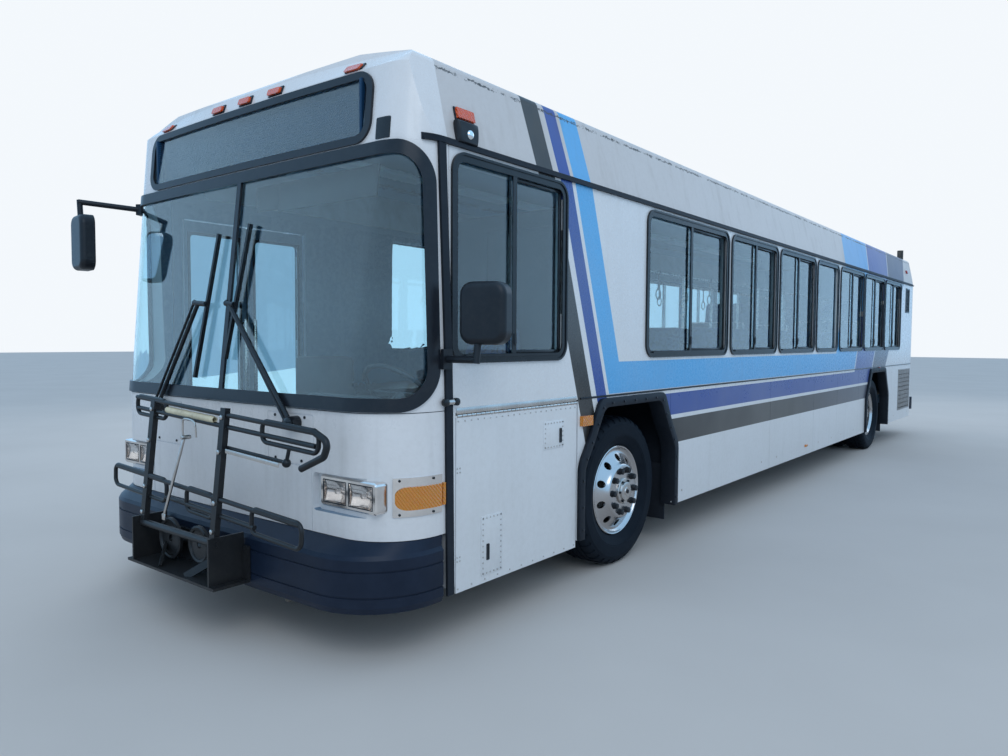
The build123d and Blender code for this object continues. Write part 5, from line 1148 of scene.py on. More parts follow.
lens_frames = copies(joined("lens_frame", frame_parts), "lens_frames", lens_spots(LENS_FACE_Y - 0.001))
hand_over(lens_frames, black_plastic, "body", "frame_black")
print("headlamp lenses at z", round(LENS_MIDDLE_Z, 3))

# %% [markdown]
# Each mirror head gets a silvered glass in its pocket. A flat plate with bevelled edges, turned with
# its head, is enough: what matters is the clean mirror finish and the dark gap round it.

# %% Mirror glass
mirror_glass, mirror_tree, mirror_shader = new_finish("mirror_glass", Metallic=1.0, Base_Color=(0.82, 0.85, 0.87, 1))
mirror_film = add_noise(mirror_tree, object_place(mirror_tree)[0], 12.0, 4.0)
feed_all(mirror_tree, mirror_shader, Roughness=add_ramp(mirror_tree, mirror_film, 0.5, 0.8, 0.02, 0.16))
PILLAR_Y = station(-1.796)
NOSE_Y = station(-2.200)
# name, place, width and height of the head, and its turn in degrees
HEADS = (
    ("mirror_glass_left", SKIN_X + 0.230, PILLAR_Y - 0.004, 1.632, 0.236, 0.290, 14.0),
    ("mirror_glass_right", -SKIN_X - 0.100, NOSE_Y - 0.110, DRIP_Z - 0.315, 0.236, 0.350, -8.0),
)
for name, x, y, z, width, height, turn in HEADS:
    glass = rounded_block(name, (width - 0.030, 0.004, height - 0.030), (0, 0, 0), 0)
    edit_all(glass)
    select_edges(glass, lambda a, b: abs(a.y - b.y) > 0.001)
    bpy.ops.mesh.bevel(offset=0.046, segments=6, affect="EDGES")
    close_edit()
    moved(glass, at(x, y, z) @ turned(turn, "Z") @ at(0, 0.0395, 0))
    hand_over(glass, mirror_glass, "body", "chrome")
print("mirror glass: 2")

# %% [markdown]
# Small things have to sit on the panels that carry them, and the nose is curved both ways. A ray shot
# at a frame piece finds the place and the direction of its surface there, so a screw or a lamp foot
# can be set down anywhere without working out the curve again.

# %% Finding the surface
TREES = {}


def surface_at(node_name, start, toward):
    """Point and outward normal where a ray first meets a frame piece."""
    if node_name not in TREES:
        mesh = NODES[node_name].data
        TREES[node_name] = BVHTree.FromPolygons([vertex.co.copy() for vertex in mesh.vertices],
                                                [tuple(face.vertices) for face in mesh.polygons])
    place, normal, _, _ = TREES[node_name].ray_cast(Vector(start), Vector(toward).normalized())
    if place is None:
        print("no surface of", node_name, "from", start)
        return Vector(start), -Vector(toward).normalized()
    return place, normal if normal.dot(Vector(toward)) < 0 else -normal


def standing_on(node_name, start, toward):
    """A placing whose z points out of the surface that a ray meets."""
    place, normal = surface_at(node_name, start, toward)
    return Matrix.Translation(place) @ normal.to_track_quat("Z", "Y").to_matrix().to_4x4()


def on_front(node_name, x, z):
    """A placing on the front of the bus."""
    return standing_on(node_name, (x, NOSE_Y - 1.0, z), (0, 1, 0))


def make_screw(name, radius, height):
    """A domed head: a short cylinder whose top is drawn in and rounded."""
    begin()
    bpy.ops.mesh.primitive_cylinder_add(vertices=10, radius=radius, depth=height)
    piece = bpy.context.object
    piece.name = name
    piece.data.transform(at(0, 0, height / 2 - 0.0008))
    return inset_faces(piece, lambda face: face.normal.z > 0.9, radius * 0.35, height * 0.35)


def add_screws(name, spots, radius, height, finish, body="body", slot=None):
    """One domed head, copied to all its spots and dressed."""
    return hand_over(copies(make_screw("screw", radius, height), name, spots), finish, body, slot)


def facing(side):
    """A turn that points z out of the driver's side (1) or the door's side (-1)."""
    return turned(90 * side, "Y")


print("surface finder ready")

# %% [markdown]
# Black screw heads hold the turn lamps and the panels of the nose. They are one domed head, copied to
# each of its places.

# %% Screws of the nose
front_screws = []
for side in (1, -1):
    for x, z in ((0.483, 1.128), (0.716, 1.128), (0.689, 0.912), (0.483, 0.912)):
        front_screws.append(on_front("front_mask", side * x, z))
    for x in (-0.60, 0.60):
        front_screws.append(on_front("front_mask", x, 0.600))
add_screws("nose_screws", front_screws, 0.0075, 0.005, frame_black)
lamp_screws = [standing_on("headlamps", (side * (SKIN_X + 1.0), station(y), z), (-side, 0, 0))
               for side in (1, -1) for y in (-2.060, -1.900) for z in (0.702, 0.860)]
add_screws("turn_lamp_screws", lamp_screws, 0.0065, 0.005, frame_black)
print("nose screws:", len(front_screws) + len(lamp_screws))

# %% [markdown]
# The destination sign is off, so behind its glass there is only a dark blue-black board with a fine
# grid of unlit dots, set between two end cheeks.

# %% Sign board
DOTS_PER_METRE = 80.0
SIGN_LOW = 2.463
SIGN_HIGH = 2.748
sign_tall = SIGN_HIGH - SIGN_LOW
sign_z = (SIGN_LOW + SIGN_HIGH) / 2

sign_dots, dots_tree, dots_shader = new_finish("sign_dots", Roughness=0.35, Specular_IOR_Level=0.15)
_, dots_x, _, dots_z = object_place(dots_tree)
dot_rows = []
for axis_value in (dots_x, dots_z):
    cell = add_math(dots_tree, "FRACT", add_math(dots_tree, "MULTIPLY", axis_value, DOTS_PER_METRE))
    dot_rows.append(add_math(dots_tree, "ABSOLUTE", add_math(dots_tree, "SUBTRACT", cell, 0.5)))
dot_mask = add_math(dots_tree, "LESS_THAN", add_math(dots_tree, "MAXIMUM", *dot_rows), 0.26)
feed_all(dots_tree, dots_shader, Base_Color=add_mix(dots_tree, dot_mask, (0.006, 0.034, 0.085), (0.012, 0.066, 0.150)),
         Normal=add_bump(dots_tree, dot_mask, 0.5, 0.001))
board = rounded_block("sign_board", (1.93, 0.012, sign_tall - 0.004), (0, station(-1.985), sign_z), 0.003)
hand_over(board, sign_dots, "body", "interior")
cheeks = [rounded_block("cheek", (0.020, 0.060, sign_tall - 0.010), (side * 0.955, station(-2.010), sign_z), 0.003)
          for side in (1, -1)]
hand_over(joined("sign_cheeks", cheeks), sign_dots, "body", "interior")
print("sign board ready")

# %% [markdown]
# Each marker lamp stands on a dark rubber foot. The foot is a bevelled plate that is set down on the
# surface under it.

# %% Lamp feet
feet = [moved(rounded_block("foot", (0.116, 0.050, 0.010), (0, 0, 0.002), 0.003), on_front("front_header", x, 2.813))
        for x in (-0.870, -0.270, 0.0, 0.270, 0.870)]
feet += [moved(rounded_block("foot", (0.142, 0.068, 0.012), (0, 0, 0.001), 0.003),
               standing_on("roof", (side * 2.0, station(-1.645), 2.601), (-side, 0, 0))) for side in (1, -1)]
hand_over(joined("lamp_feet", feet), gasket_rubber, "body", "rubber")
print("lamp feet:", len(feet))

# %% [markdown]
# A small camera hangs on the cove behind the front corner: a rounded black housing with a bright dome.
# It starts as a block, its outer face is drawn in and a subdivision surface rounds it.

# %% Camera housing
camera_place, _ = surface_at("roof", (2.0, station(-1.660), 2.505), (-1, 0, 0))
housing = rounded_block("camera_housing", (0.030, 0.150, 0.110), (0, 0, 0), 0.004)
inset_faces(housing, lambda face: face.normal.x > 0.9, 0.012, 0.012)
moved(soften(housing), at(camera_place.x + 0.008, station(-1.662), 2.507))
dome = lathe("dome", [(0.0, 0.0), (0.0, 0.026), (0.010, 0.025), (0.018, 0.019), (0.023, 0.010), (0.0245, 0.0)], 24,
             (camera_place.x + 0.022, station(-1.655), 2.500))
hand_over(housing, black_plastic)
hand_over(dome, mirror_glass, "body", "black_plastic")
print("camera housing at", round(camera_place.x, 3))

# %% [markdown]
# The battery door hangs on a long hinge and has rows of rivets along its edges. It carries a small
# hatch and a low inspection flap, each with a ring of rivets and a slot handle. Plates are bevelled
# blocks a few millimetres thick, and the rivets follow their edges.

# %% Battery door plates
DOOR_LOW, DOOR_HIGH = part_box("battery_door")
FACE_X = DOOR_HIGH[0]


def rivet_line(y0, z0, y1, z1, pitch, x=FACE_X):
    """Placings of rivets on the driver's side, evenly spaced along a line."""
    count = max(2, round(math.hypot(y1 - y0, z1 - z0) / pitch) + 1)
    return [at(x, y0 + (y1 - y0) * i / (count - 1), z0 + (z1 - z0) * i / (count - 1)) @ facing(1)
            for i in range(count)]


def rivet_ring(y0, z0, y1, z1, pitch, x):
    """Placings of rivets along the four edges of a plate."""
    ring = []
    for line in ((y0, z0, y1, z0), (y0, z1, y1, z1), (y0, z0, y0, z1), (y1, z0, y1, z1)):
        ring += rivet_line(*line, pitch, x)
    return ring


# first station, lowest z, last station and highest z of the two plates
HATCH = (-1.000, 0.890, -0.800, 1.050)
FLAP = (-1.545, 0.300, -1.375, 0.610)
HINGE_KNUCKLES = 30
HINGE_PITCH = 0.0359
door_rivets = []
plates = []
for y0, z0, y1, z1 in (HATCH, FLAP):
    y0, y1 = station(y0), station(y1)
    plates.append(rounded_block("plate", (0.005, y1 - y0, z1 - z0),
                                (FACE_X + 0.0015, (y0 + y1) / 2, (z0 + z1) / 2), 0.002))
    door_rivets += rivet_ring(y0 + 0.012, z0 + 0.012, y1 - 0.012, z1 - 0.012, 0.028, FACE_X + 0.004)
hand_over(joined("door_plates", plates), body_paint, "battery_lid")
for z, pitch in ((DOOR_HIGH[2] - 0.030, 0.05), (DOOR_LOW[2] + 0.02, 0.10)):
    door_rivets += rivet_line(DOOR_LOW[1] + 0.020, z, DOOR_HIGH[1] - 0.020, z, pitch)
for z in (0.42, 0.44, 0.86, 0.88):
    door_rivets += rivet_line(DOOR_LOW[1] + 0.014, z, DOOR_LOW[1] + 0.034, z, 0.02)
add_screws("door_rivets", door_rivets, 0.0045, 0.0035, steel, "battery_lid")
cups = [inset_faces(rounded_block("cup", (0.010, 0.022, 0.085), (FACE_X + 0.0055, station(y), z), 0.004),
                    lambda face: face.normal.x > 0.9, 0.008, -0.006) for y, z in ((-1.495, 0.420), (-0.835, 0.960))]
hand_over(joined("door_handles", cups), black_plastic, "battery_lid")
hinge_strip = rounded_block("hinge_strip", (0.004, DOOR_HIGH[1] - DOOR_LOW[1] - 0.01, 0.030),
                            (FACE_X + 0.001, (DOOR_LOW[1] + DOOR_HIGH[1]) / 2, DOOR_HIGH[2] + 0.020), 0.001)
knuckles = []
for index in range(HINGE_KNUCKLES):
    y = DOOR_LOW[1] + 0.012 + HINGE_PITCH * index
    knuckles.append(rod("knuckle", (FACE_X - 0.004, y, DOOR_HIGH[2] - 0.005),
                        (FACE_X - 0.004, y + 0.033, DOOR_HIGH[2] - 0.005), 0.0092, 10, 0.001))
hand_over(joined("hinge_knuckles", knuckles), steel, "battery_lid")
hand_over(hinge_strip, steel)
print("door rivets:", len(door_rivets))

# %% [markdown]
# A bright cylinder lies across the black corner strip, the joint of the mirror's stay. A black clamp
# holds it at each end.

# %% Corner strip fittings
STRIP_JOINT_Z = 1.212
for name, side in SIDES:
    joint = rod("strip_joint_" + name, (side * (SKIN_X + 0.020), station(-1.842), STRIP_JOINT_Z),
                (side * (SKIN_X + 0.020), station(-1.752), STRIP_JOINT_Z), 0.0125, 20, 0.003)
    hand_over(joint, steel)
    ends = [rod("end", (side * (SKIN_X + 0.010), station(y), STRIP_JOINT_Z),
                (side * (SKIN_X + 0.034), station(y), STRIP_JOINT_Z), 0.019, 16, 0.004) for y in (-1.836, -1.760)]
    hand_over(joined("strip_clamps_" + name, ends), frame_black)
print("corner strips ready")

# %% [markdown]
# The panels of the skirt hang on a line of rivets under the belt seam, and each has two small round
# latches low down. On the driver's side a slim rubber moulding, the belt, covers the seam.

# %% Skirt rivets and latches
SKIRT_SPANS = (
    ("left", ((0.640, 2.720), (2.780, 4.115), (4.175, 5.060), (5.120, 6.070), (8.130, 9.480))),
    ("right", ((0.640, 2.720), (2.780, 4.115), (5.120, 6.070), (8.130, 9.480))),
)
SEAM_RIVETS_Z = 1.128
LOW_RIVETS_Z = 0.325
LATCH_Z = 0.385
BELT = (-0.62, 9.48)
for side_name, spans in SKIRT_SPANS:
    side = 1 if side_name == "left" else -1
    spots = []
    latch_parts = []
    for start, end in spans:
        count = round((end - start) / 0.12)
        for index in range(count + 1):
            y = station(start + (end - start) * index / count)
            spots.append(at(side * SKIN_X, y, SEAM_RIVETS_Z) @ facing(side))
            if start < 8.0 or side < 0:
                spots.append(at(side * SKIN_X, y, LOW_RIVETS_Z) @ facing(side))
        for y in (station(start + 0.18), station(end - 0.18)):
            latch_parts.append(rod("latch", (side * (SKIN_X - 0.001), y, LATCH_Z),
                                   (side * (SKIN_X + 0.0015), y, LATCH_Z), 0.009, 12, 0.0005))
    add_screws("skirt_rivets_" + side_name, spots, 0.0042, 0.003, body_paint)
    hand_over(joined("skirt_latches_" + side_name, latch_parts), steel)
    if side > 0:
        belt = rounded_block("belt_" + side_name, (0.007, BELT[1] - BELT[0], 0.012),
                             (SKIN_X + 0.0025, station(sum(BELT) / 2), 1.160), 0.002)
        hand_over(belt, gasket_rubber, "body", "rubber")
print("skirt panels riveted")

# %% [markdown]
# Along the wheel arches the rubber lips are held by round-headed screws. They follow the lip's middle
# line, whose front half is given from the arch's middle, mirrored, and used at all four arches.

# %% Arch screws
LIP_FRONT = ((-0.640, 0.36), (-0.640, 0.50), (-0.640, 0.66), (-0.600, 0.79), (-0.540, 0.885), (-0.470, 0.99),
             (-0.410, 1.09), (-0.30, 1.115), (-0.15, 1.115))
LIP = (*LIP_FRONT, (0.0, 1.115), *((-y, z) for y, z in reversed(LIP_FRONT)))
# an arch stands a little behind its axle
ARCH_BEHIND = 0.030
lip_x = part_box("fenders")[1][0]
for axle_name, axle_y in (("front", FRONT_AXLE_Y), ("rear", REAR_AXLE_Y)):
    for side_name, side in SIDES:
        spots = [at(side * lip_x, axle_y + ARCH_BEHIND + y, z) @ facing(side) for y, z in LIP]
        add_screws("arch_screws_" + axle_name + "_" + side_name, spots, 0.008, 0.005, gasket_rubber, slot="rubber")
print("arch screws:", 4 * len(LIP))

# %% [markdown]
# A window is more than its frame. Sliding panes have a slim black sash of their own, with a pull
# latch at the meeting rail.

# %% Sashes and latches
# first station and length of the passenger windows of one side, and of the driver's window
SIDE_WINDOWS = ((0.196, 1.445), (1.696, 1.172), (2.923, 1.172), (5.094, 1.160), (6.295, 1.160), (7.490, 1.090))
DRIVER_WINDOW = (-1.780, 0.995)
WINDOW_LOW = 1.395
WINDOW_HIGH = 2.411


def sash_parts(start, length, side):
    """Rails of the rear sliding pane, and its latch."""
    middle = station(start + length / 2)
    end = station(start + length - 0.045)
    x = side * (SKIN_X - 0.014)
    low = WINDOW_LOW + 0.045
    high = WINDOW_HIGH - 0.045
    rails = [rounded_block("rail", (0.012, end - middle, 0.020), (x, (middle + end) / 2, z), 0.003)
             for z in (low + 0.008, high - 0.008)]
    rails += [rounded_block("rail", (0.012, 0.022, high - low), (x, y, (low + high) / 2), 0.003)
              for y in (middle + 0.022, end - 0.008)]
    latch = rounded_block("latch", (0.010, 0.022, 0.070), (side * (SKIN_X + 0.002), middle + 0.004, 1.515), 0.004)
    return rails + [inset_faces(latch, lambda face: face.normal.x * side > 0.9, 0.006, 0.005)]


sashes = []
for side, windows in ((1, (*SIDE_WINDOWS, DRIVER_WINDOW)), (-1, SIDE_WINDOWS)):
    for start, length in windows:
        sashes += sash_parts(start, length, side)
hand_over(joined("window_sashes", sashes), frame_black)
print("sash parts:", len(sashes))

# %% [markdown]
# Folded racks carry loose hardware: a silver support rod with a flat end, a wire handle, a sleeve on
# the top bar, a flat link, and round discs on stubs over the lower plate.

# %% Rack fittings
RACK_Y = station(-2.462)
RACK_LEAN = 0.074 / 0.665


def rack_y(z):
    """y of the folded rack's plane at a height."""
    return RACK_Y + RACK_LEAN * (z - 0.5)


def bent_wire(name, points, radius):
    """A round wire through some points: a bevelled curve made into a mesh."""
    begin()
    data = bpy.data.curves.new(name, "CURVE")
    data.dimensions = "3D"
    data.bevel_depth = radius
    data.bevel_resolution = 3
    data.use_fill_caps = True
    spline = data.splines.new("NURBS")
    spline.points.add(len(points) - 1)
    for point, place in zip(spline.points, points):
        point.co = (*place, 1)
    spline.order_u = 3
    spline.use_endpoint_u = True
    wire = bpy.data.objects.new(name, data)
    bpy.context.scene.collection.objects.link(wire)
    activate(wire)
    bpy.ops.object.convert(target="MESH")
    return bpy.context.object


silver = [rod("silver_rod", (0.055, rack_y(1.0) - 0.040, 0.993), (-0.090, rack_y(0.576) - 0.030, 0.576),
              0.008, 14, 0.002),
          rounded_block("rod_eye", (0.030, 0.010, 0.034), (-0.092, rack_y(0.576) - 0.030, 0.572), 0.004),
          rod("rod_pin", (0.055, rack_y(1.0) - 0.055, 1.000), (0.055, rack_y(1.0) - 0.005, 1.000), 0.011, 14, 0.002)]
silver.append(rounded_block("flat_link", (0.428, 0.006, 0.022), (0.644, rack_y(0.95) - 0.030, 0.953), 0.002, 2,
                            turned(3.2, "Y")))
hand_over(joined("rack_rods", silver), steel, "rack")
handle = bent_wire("rack_handle", [(0.010, rack_y(1.0) - 0.020, 1.000), (0.012, rack_y(1.09) - 0.035, 1.085),
                                   (0.050, rack_y(1.1) - 0.040, 1.097), (0.120, rack_y(1.1) - 0.040, 1.092),
                                   (0.144, rack_y(1.08) - 0.035, 1.075), (0.138, rack_y(1.0) - 0.020, 1.005)], 0.005)
hand_over(handle, steel, "rack")
sleeve = lathe("rack_sleeve", [(0.0, 0.012), (0.0, 0.0165), (0.012, 0.018), (0.200, 0.018), (0.212, 0.0165),
                               (0.250, 0.0165), (0.262, 0.018), (0.440, 0.018), (0.452, 0.0165), (0.463, 0.0155),
                               (0.463, 0.012), (0.0, 0.012)], 24,
               (-0.211, rack_y(1.149), 1.1225), (0.463, 0, -0.0225))
sleeve_finish = make_plain("rack_sleeve", (0.62, 0.58, 0.42), (0.22, 0.20, 0.16), 0.45, 0.35, 200.0, 0.2, 0.1)
hand_over(sleeve, sleeve_finish, "rack", "black_plastic")
discs = []
stubs = []
for x, z, radius in ((-0.184, 0.427, 0.112), (0.104, 0.440, 0.098)):
    discs.append(lathe("disc", [(0.0, 0.020), (0.0, radius - 0.022), (-0.006, radius - 0.018),
                                (-0.009, radius - 0.008), (-0.006, radius), (0.010, radius),
                                (0.014, radius - 0.010), (0.014, 0.020), (0.0, 0.020)],
                       48, (x, station(-2.400), z), (0, 1, 0)))
    stubs.append(rod("stub", (x, station(-2.395), z), (x * 0.8, station(-2.31), z - 0.03), 0.016, 14, 0.003))
hand_over(joined("rack_discs", discs), rack_black, "body", "frame_black")
hand_over(joined("disc_stubs", stubs), rack_black, "body", "frame_black")
UPRIGHT_X = 0.347
bolts = [at(side * UPRIGHT_X, rack_y(z) - 0.0155, z) @ turned(90, "X")
         for z in (0.560, 0.700, 0.95, 1.12) for side in (1, -1)]
add_screws("rack_bolts", bolts, 0.012, 0.008, steel, "rack")
print("rack fittings ready")

# %% [markdown]
# The rear shows what the class has: bezels round the lamps, a blank plate in its holder, reflectors on
# the bumper, and pull handles and hinge straps on the engine door.

# %% Rear fittings
BUMPER_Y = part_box("bumper_rear")[1][1]
ENGINE_DOOR_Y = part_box("engine_door")[1][1]
PLATE_Z = 0.500
BEZEL_SECTION = [(0.0, 0.053), (0.0, 0.064), (0.010, 0.066), (0.018, 0.062), (0.018, 0.054), (0.0, 0.053)]
bezels = [lathe("bezel", BEZEL_SECTION, 32, (side * (SKIN_X - 0.245), REAR_Y + 0.001, z), (0, 1, 0))
          for side in (1, -1) for z in (0.860, 1.010, 1.160, 1.310)]
hand_over(joined("tail_bezels", bezels), gasket_rubber, "body", "rubber")
plate = rounded_block("blank_plate", (0.305, 0.004, 0.152), (0, BUMPER_Y + 0.003, PLATE_Z), 0.0015)
hand_over(plate, front_paint, "body", "body_paint")
plate_holder = rounded_block("plate_holder", (0.335, 0.005, 0.182), (0, BUMPER_Y - 0.0008, PLATE_Z), 0.002)
hand_over(plate_holder, frame_black)
pulls = [inset_faces(rounded_block("pull", (0.120, 0.012, 0.050), (x, ENGINE_DOOR_Y + 0.004, 0.720), 0.005),
                     lambda face: face.normal.y > 0.9, 0.010, -0.006) for x in (-0.62, 0.62)]
hand_over(joined("engine_door_pulls", pulls), black_plastic, "engine_lid")
hinges = [rounded_block("strap", (0.060, 0.006, 0.100), (x, ENGINE_DOOR_Y + 0.001, 1.375), 0.002)
          for x in (-0.70, 0.0, 0.70)]
hand_over(joined("engine_door_straps", hinges), frame_black, "engine_lid")
reflectors = [rounded_block("reflector", (0.110, 0.010, 0.045), (side * 1.02, BUMPER_Y + 0.003, 0.565), 0.003)
              for side in (1, -1)]
hand_over(joined("rear_reflectors", reflectors), red)
print("rear fittings ready")

# %% [markdown]
# A door leaf is a painted frame round a tall pane, turning on the post that stands in its edge. It has
# rubber along its meeting edge and round its glass, and a grab rail inside. Each leaf's sizes come
# from the frame, so that it stands for the frame's own leaf.

# %% Door leaves
# widths of a leaf's side rails, its bottom and its top, and the room over it for its pin
LEAF_RAIL = 0.055
LEAF_BOTTOM = 0.130
LEAF_TOP = 0.090
PIN_ROOM = 0.006
for door in ("front_door", "rear_door"):
    for end in ("fore", "aft"):
        node_name = door + "_" + end
        rider = door + "_leaf_" + end
        low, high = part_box(node_name)
        outer_x, y0, z0 = low
        inner_x, y1, _ = high
        z1 = high[2] - PIN_ROOM
        half_leaf = (inner_x - outer_x) / 2
        middle_x = (outer_x + inner_x) / 2
        sill = z0 + LEAF_BOTTOM
        head = z1 - LEAF_TOP
        meet = y1 if end == "fore" else y0
        inward = -1 if end == "fore" else 1
        post_y = y0 + half_leaf if end == "fore" else y1 - half_leaf
        pane_size = (y1 - y0 - 2 * LEAF_RAIL, head - sill)
        pane_place = ((y0 + y1) / 2, (sill + head) / 2)
        leaf = rounded_block("leaf", (2 * half_leaf, abs(meet - post_y), z1 - z0),
                             (middle_x, (meet + post_y) / 2, (z0 + z1) / 2), 0.003)
        cut_away(leaf, rounded_block("window", (0.2, *pane_size), (middle_x, *pane_place), 0.030, 4))
        post = rod("post", (middle_x, post_y, z0), (middle_x, post_y, z1), half_leaf, 24, 0.002)
        pin = rod("pin", (middle_x, post_y, z1 - 0.005), (middle_x, post_y, high[2]), 0.010, 14)
        leaf = joined(node_name + "_leaf", [leaf, post, pin])
        hand_over(leaf, body_paint, rider)
        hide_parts(node_name)
        pane = rounded_block(node_name + "_pane", (0.006, pane_size[0] + 0.008, pane_size[1] + 0.008),
                             (outer_x + 0.018, *pane_place), 0.001)
        hand_over(pane, windshield_glass, rider, "clear_glass")
        nose = rounded_block(node_name + "_edge", (0.022, 0.0065, z1 - z0 - 0.01),
                             (middle_x, meet - inward * 0.0030, (z0 + z1) / 2), 0.002)
        hand_over(nose, rubber, rider)
        trim = []
        for x in (outer_x - 0.0005, inner_x + 0.0005):
            ring = rounded_block("trim", (0.004, pane_size[0] + 0.030, pane_size[1] + 0.030), (x, *pane_place), 0.0015)
            cut_away(ring, rounded_block("hole", (0.2, pane_size[0] - 0.012, pane_size[1] - 0.012),
                                         (x, *pane_place), 0.026, 4))
            trim.append(ring)
        hand_over(joined(node_name + "_glass_rubber", trim), gasket_rubber, rider, "rubber")
        grab_y = meet + inward * 0.032
        grab = [rod("grab", (inner_x + 0.038, grab_y, 0.95), (inner_x + 0.038, grab_y, 1.65), 0.013, 14, 0.003)]
        grab += [rod("stay", (inner_x - 0.004, grab_y, z), (inner_x + 0.038, grab_y, z), 0.009, 12)
                 for z in (0.98, 1.62)]
        hand_over(joined(node_name + "_grab", grab), steel, rider)
print("door leaves ready")

# %% [markdown]
# Through the windows one sees the lining: two rows of ceiling lamps and a pale cove panel along each
# side. A lamp is a flat block whose lower face is drawn in.

# %% Ceiling and lamps
lining = make_plain("lining", (0.42, 0.43, 0.43), (0.25, 0.24, 0.22), 0.55, 0.10, 300.0, 0.2, 0.05)
lamp_white, white_tree, white_shader = new_finish("lamp_white", Roughness=0.4, Subsurface_Weight=0.2)
white_cloud = add_noise(white_tree, object_place(white_tree)[0], 8.0)
feed_all(white_tree, white_shader, Base_Color=add_mix(white_tree, white_cloud, (0.74, 0.75, 0.74), (0.66, 0.67, 0.65)))
ceiling = [inset_faces(rounded_block("lamp", (0.16, 0.98, 0.035), (side * 0.70, station(-0.4 + 1.10 * index), 2.815),
                                     0.010), lambda face: face.normal.z < -0.9, 0.012, 0.006)
           for side in (1, -1) for index in range(8)]
hand_over(joined("ceiling_lamps", ceiling), lamp_white, "body", "interior")
coves = [rounded_block("cove", (0.020, 10.0, 0.30), (side * 1.115, station(3.35), 2.590), 0.006, 2,
                       turned(side * 22, "Y")) for side in (1, -1)]
hand_over(joined("ceiling_coves", coves), lining, "body", "interior")
print("ceiling lamps:", len(ceiling))

# %% [markdown]
# The cab shows behind the windshield: a padded dash with three dials, a console under the driver's
# window, the fare box beside the door, a sun visor and an inside mirror. They are blocks with wide
# bevels, and the dials are turned.

# %% Dash and cab
DRIVER_X = SKIN_X - 0.570
cab = [rounded_block("hood", (0.52, 0.20, 0.10), (DRIVER_X, station(-1.905), 1.165), 0.030, 3, turned(-14, "X")),
       rounded_block("panel", (0.46, 0.020, 0.16), (DRIVER_X, station(-1.800), 1.095), 0.008, 2, turned(-20, "X")),
       rounded_block("console", (0.16, 0.42, 0.30), (SKIN_X - 0.150, station(-1.500), 0.850), 0.020, 3)]
hand_over(joined("dash_hood", cab), cab_plastic, "body", "interior")
dials = []
for x, radius in ((-0.13, 0.052), (0.0, 0.060), (0.13, 0.052)):
    dials.append(lathe("dial", [(0.0, 0.0), (0.0, radius - 0.006), (-0.006, radius - 0.005), (-0.010, radius),
                                (0.004, radius + 0.002), (0.006, 0.0), (0.0, 0.0)], 28,
                       (DRIVER_X + x, station(-1.789), 1.100), (0, -1, 0.36)))
hand_over(joined("dash_dials", dials), black_plastic, "body", "interior")
fare = [rounded_block("fare_post", (0.20, 0.22, 0.75), (0.02, station(-1.52), 0.770), 0.020, 3),
        rounded_block("fare_head", (0.24, 0.26, 0.28), (0.02, station(-1.52), 1.265), 0.030, 3)]
hand_over(joined("fare_box", fare), cab_plastic, "body", "interior")
visor = [rounded_block("visor", (0.78, 0.012, 0.16), (0.62, station(-1.975), 2.270), 0.005, 2, turned(-8, "X")),
         rounded_block("inside_mirror", (0.26, 0.020, 0.14), (0.05, station(-1.90), 2.300), 0.009, 3)]
hand_over(joined("sun_visor", visor), black_plastic, "body", "interior")
print("cab ready")

# %% [markdown]
# Straps hang from the aisle rails, each a band with a ring for the hand. The ring is turned, the band
# and its collar are blocks, and one strap is copied along both rails.

# %% Straps
strap_spots = [at(side * 0.305, station(1.10 + 0.62 * index), 2.180) for side in (1, -1) for index in range(9)]
loop = lathe("strap_loop", [(-0.006, 0.050), (0.0, 0.044), (0.006, 0.050), (0.0, 0.058), (-0.006, 0.050)], 20,
             (0, 0, -0.210))
band = rounded_block("band", (0.004, 0.026, 0.175), (0, 0, -0.085), 0.001)
collar = rounded_block("collar", (0.046, 0.030, 0.046), (0, 0, 0), 0.010, 3)
straps = copies(joined("strap", [loop, band, collar]), "grab_straps", strap_spots)
hand_over(straps, black_plastic)
print("straps:", len(strap_spots))

# %% [markdown]
# Under the floor hang the air tanks, the fuel tank, the exhaust and the drive shaft. They show only
# from low down, yet they are what makes the underside look like a bus's.

# %% Underside
# x and station of each air tank's middle
TANKS = ((-0.70, 2.35), (0.70, 2.35), (0.70, 3.45))
TANK_RADIUS = 0.105
TANK_HALF = 0.45
TANK_SECTION = [(-TANK_HALF, 0.0), (-TANK_HALF + 0.012, 0.050), (-TANK_HALF + 0.045, TANK_RADIUS),
                (TANK_HALF - 0.045, TANK_RADIUS), (TANK_HALF - 0.012, 0.050), (TANK_HALF, 0.0)]
BAND_SECTION = [(-0.015, 0.1065), (-0.015, 0.1095), (0.015, 0.1095), (0.015, 0.1065), (-0.015, 0.1065)]
tanks = [lathe("tank", TANK_SECTION, 28, (x, station(y), 0.330 - TANK_RADIUS - 0.004), (0, 1, 0)) for x, y in TANKS]
hand_over(joined("air_tanks", tanks), chassis_black, "body", "chassis")
bands = [lathe("band", BAND_SECTION, 28, (x, station(y + step), 0.221), (0, 1, 0))
         for x, y in TANKS for step in (-0.25, 0.25)]
hand_over(joined("tank_bands", bands), steel)
fuel = rounded_block("fuel_tank", (0.60, 1.10, 0.150), (-0.78, station(3.55), 0.253), 0.030, 4)
hand_over(fuel, chassis_black, "body", "chassis")
shaft = [rod("shaft", (0, station(WHEELBASE + 0.18), HUB_Z + 0.02), (0, station(8.62), HUB_Z + 0.10),
             0.045, 20, 0.004),
         lathe("yoke", [(0, 0), (0, 0.060), (0.05, 0.075), (0.09, 0.060), (0.09, 0)], 20,
               (0, station(WHEELBASE + 0.19), HUB_Z + 0.02), (0, 1, 0.06))]
hand_over(joined("drive_shaft", shaft), chassis_black, "body", "chassis")
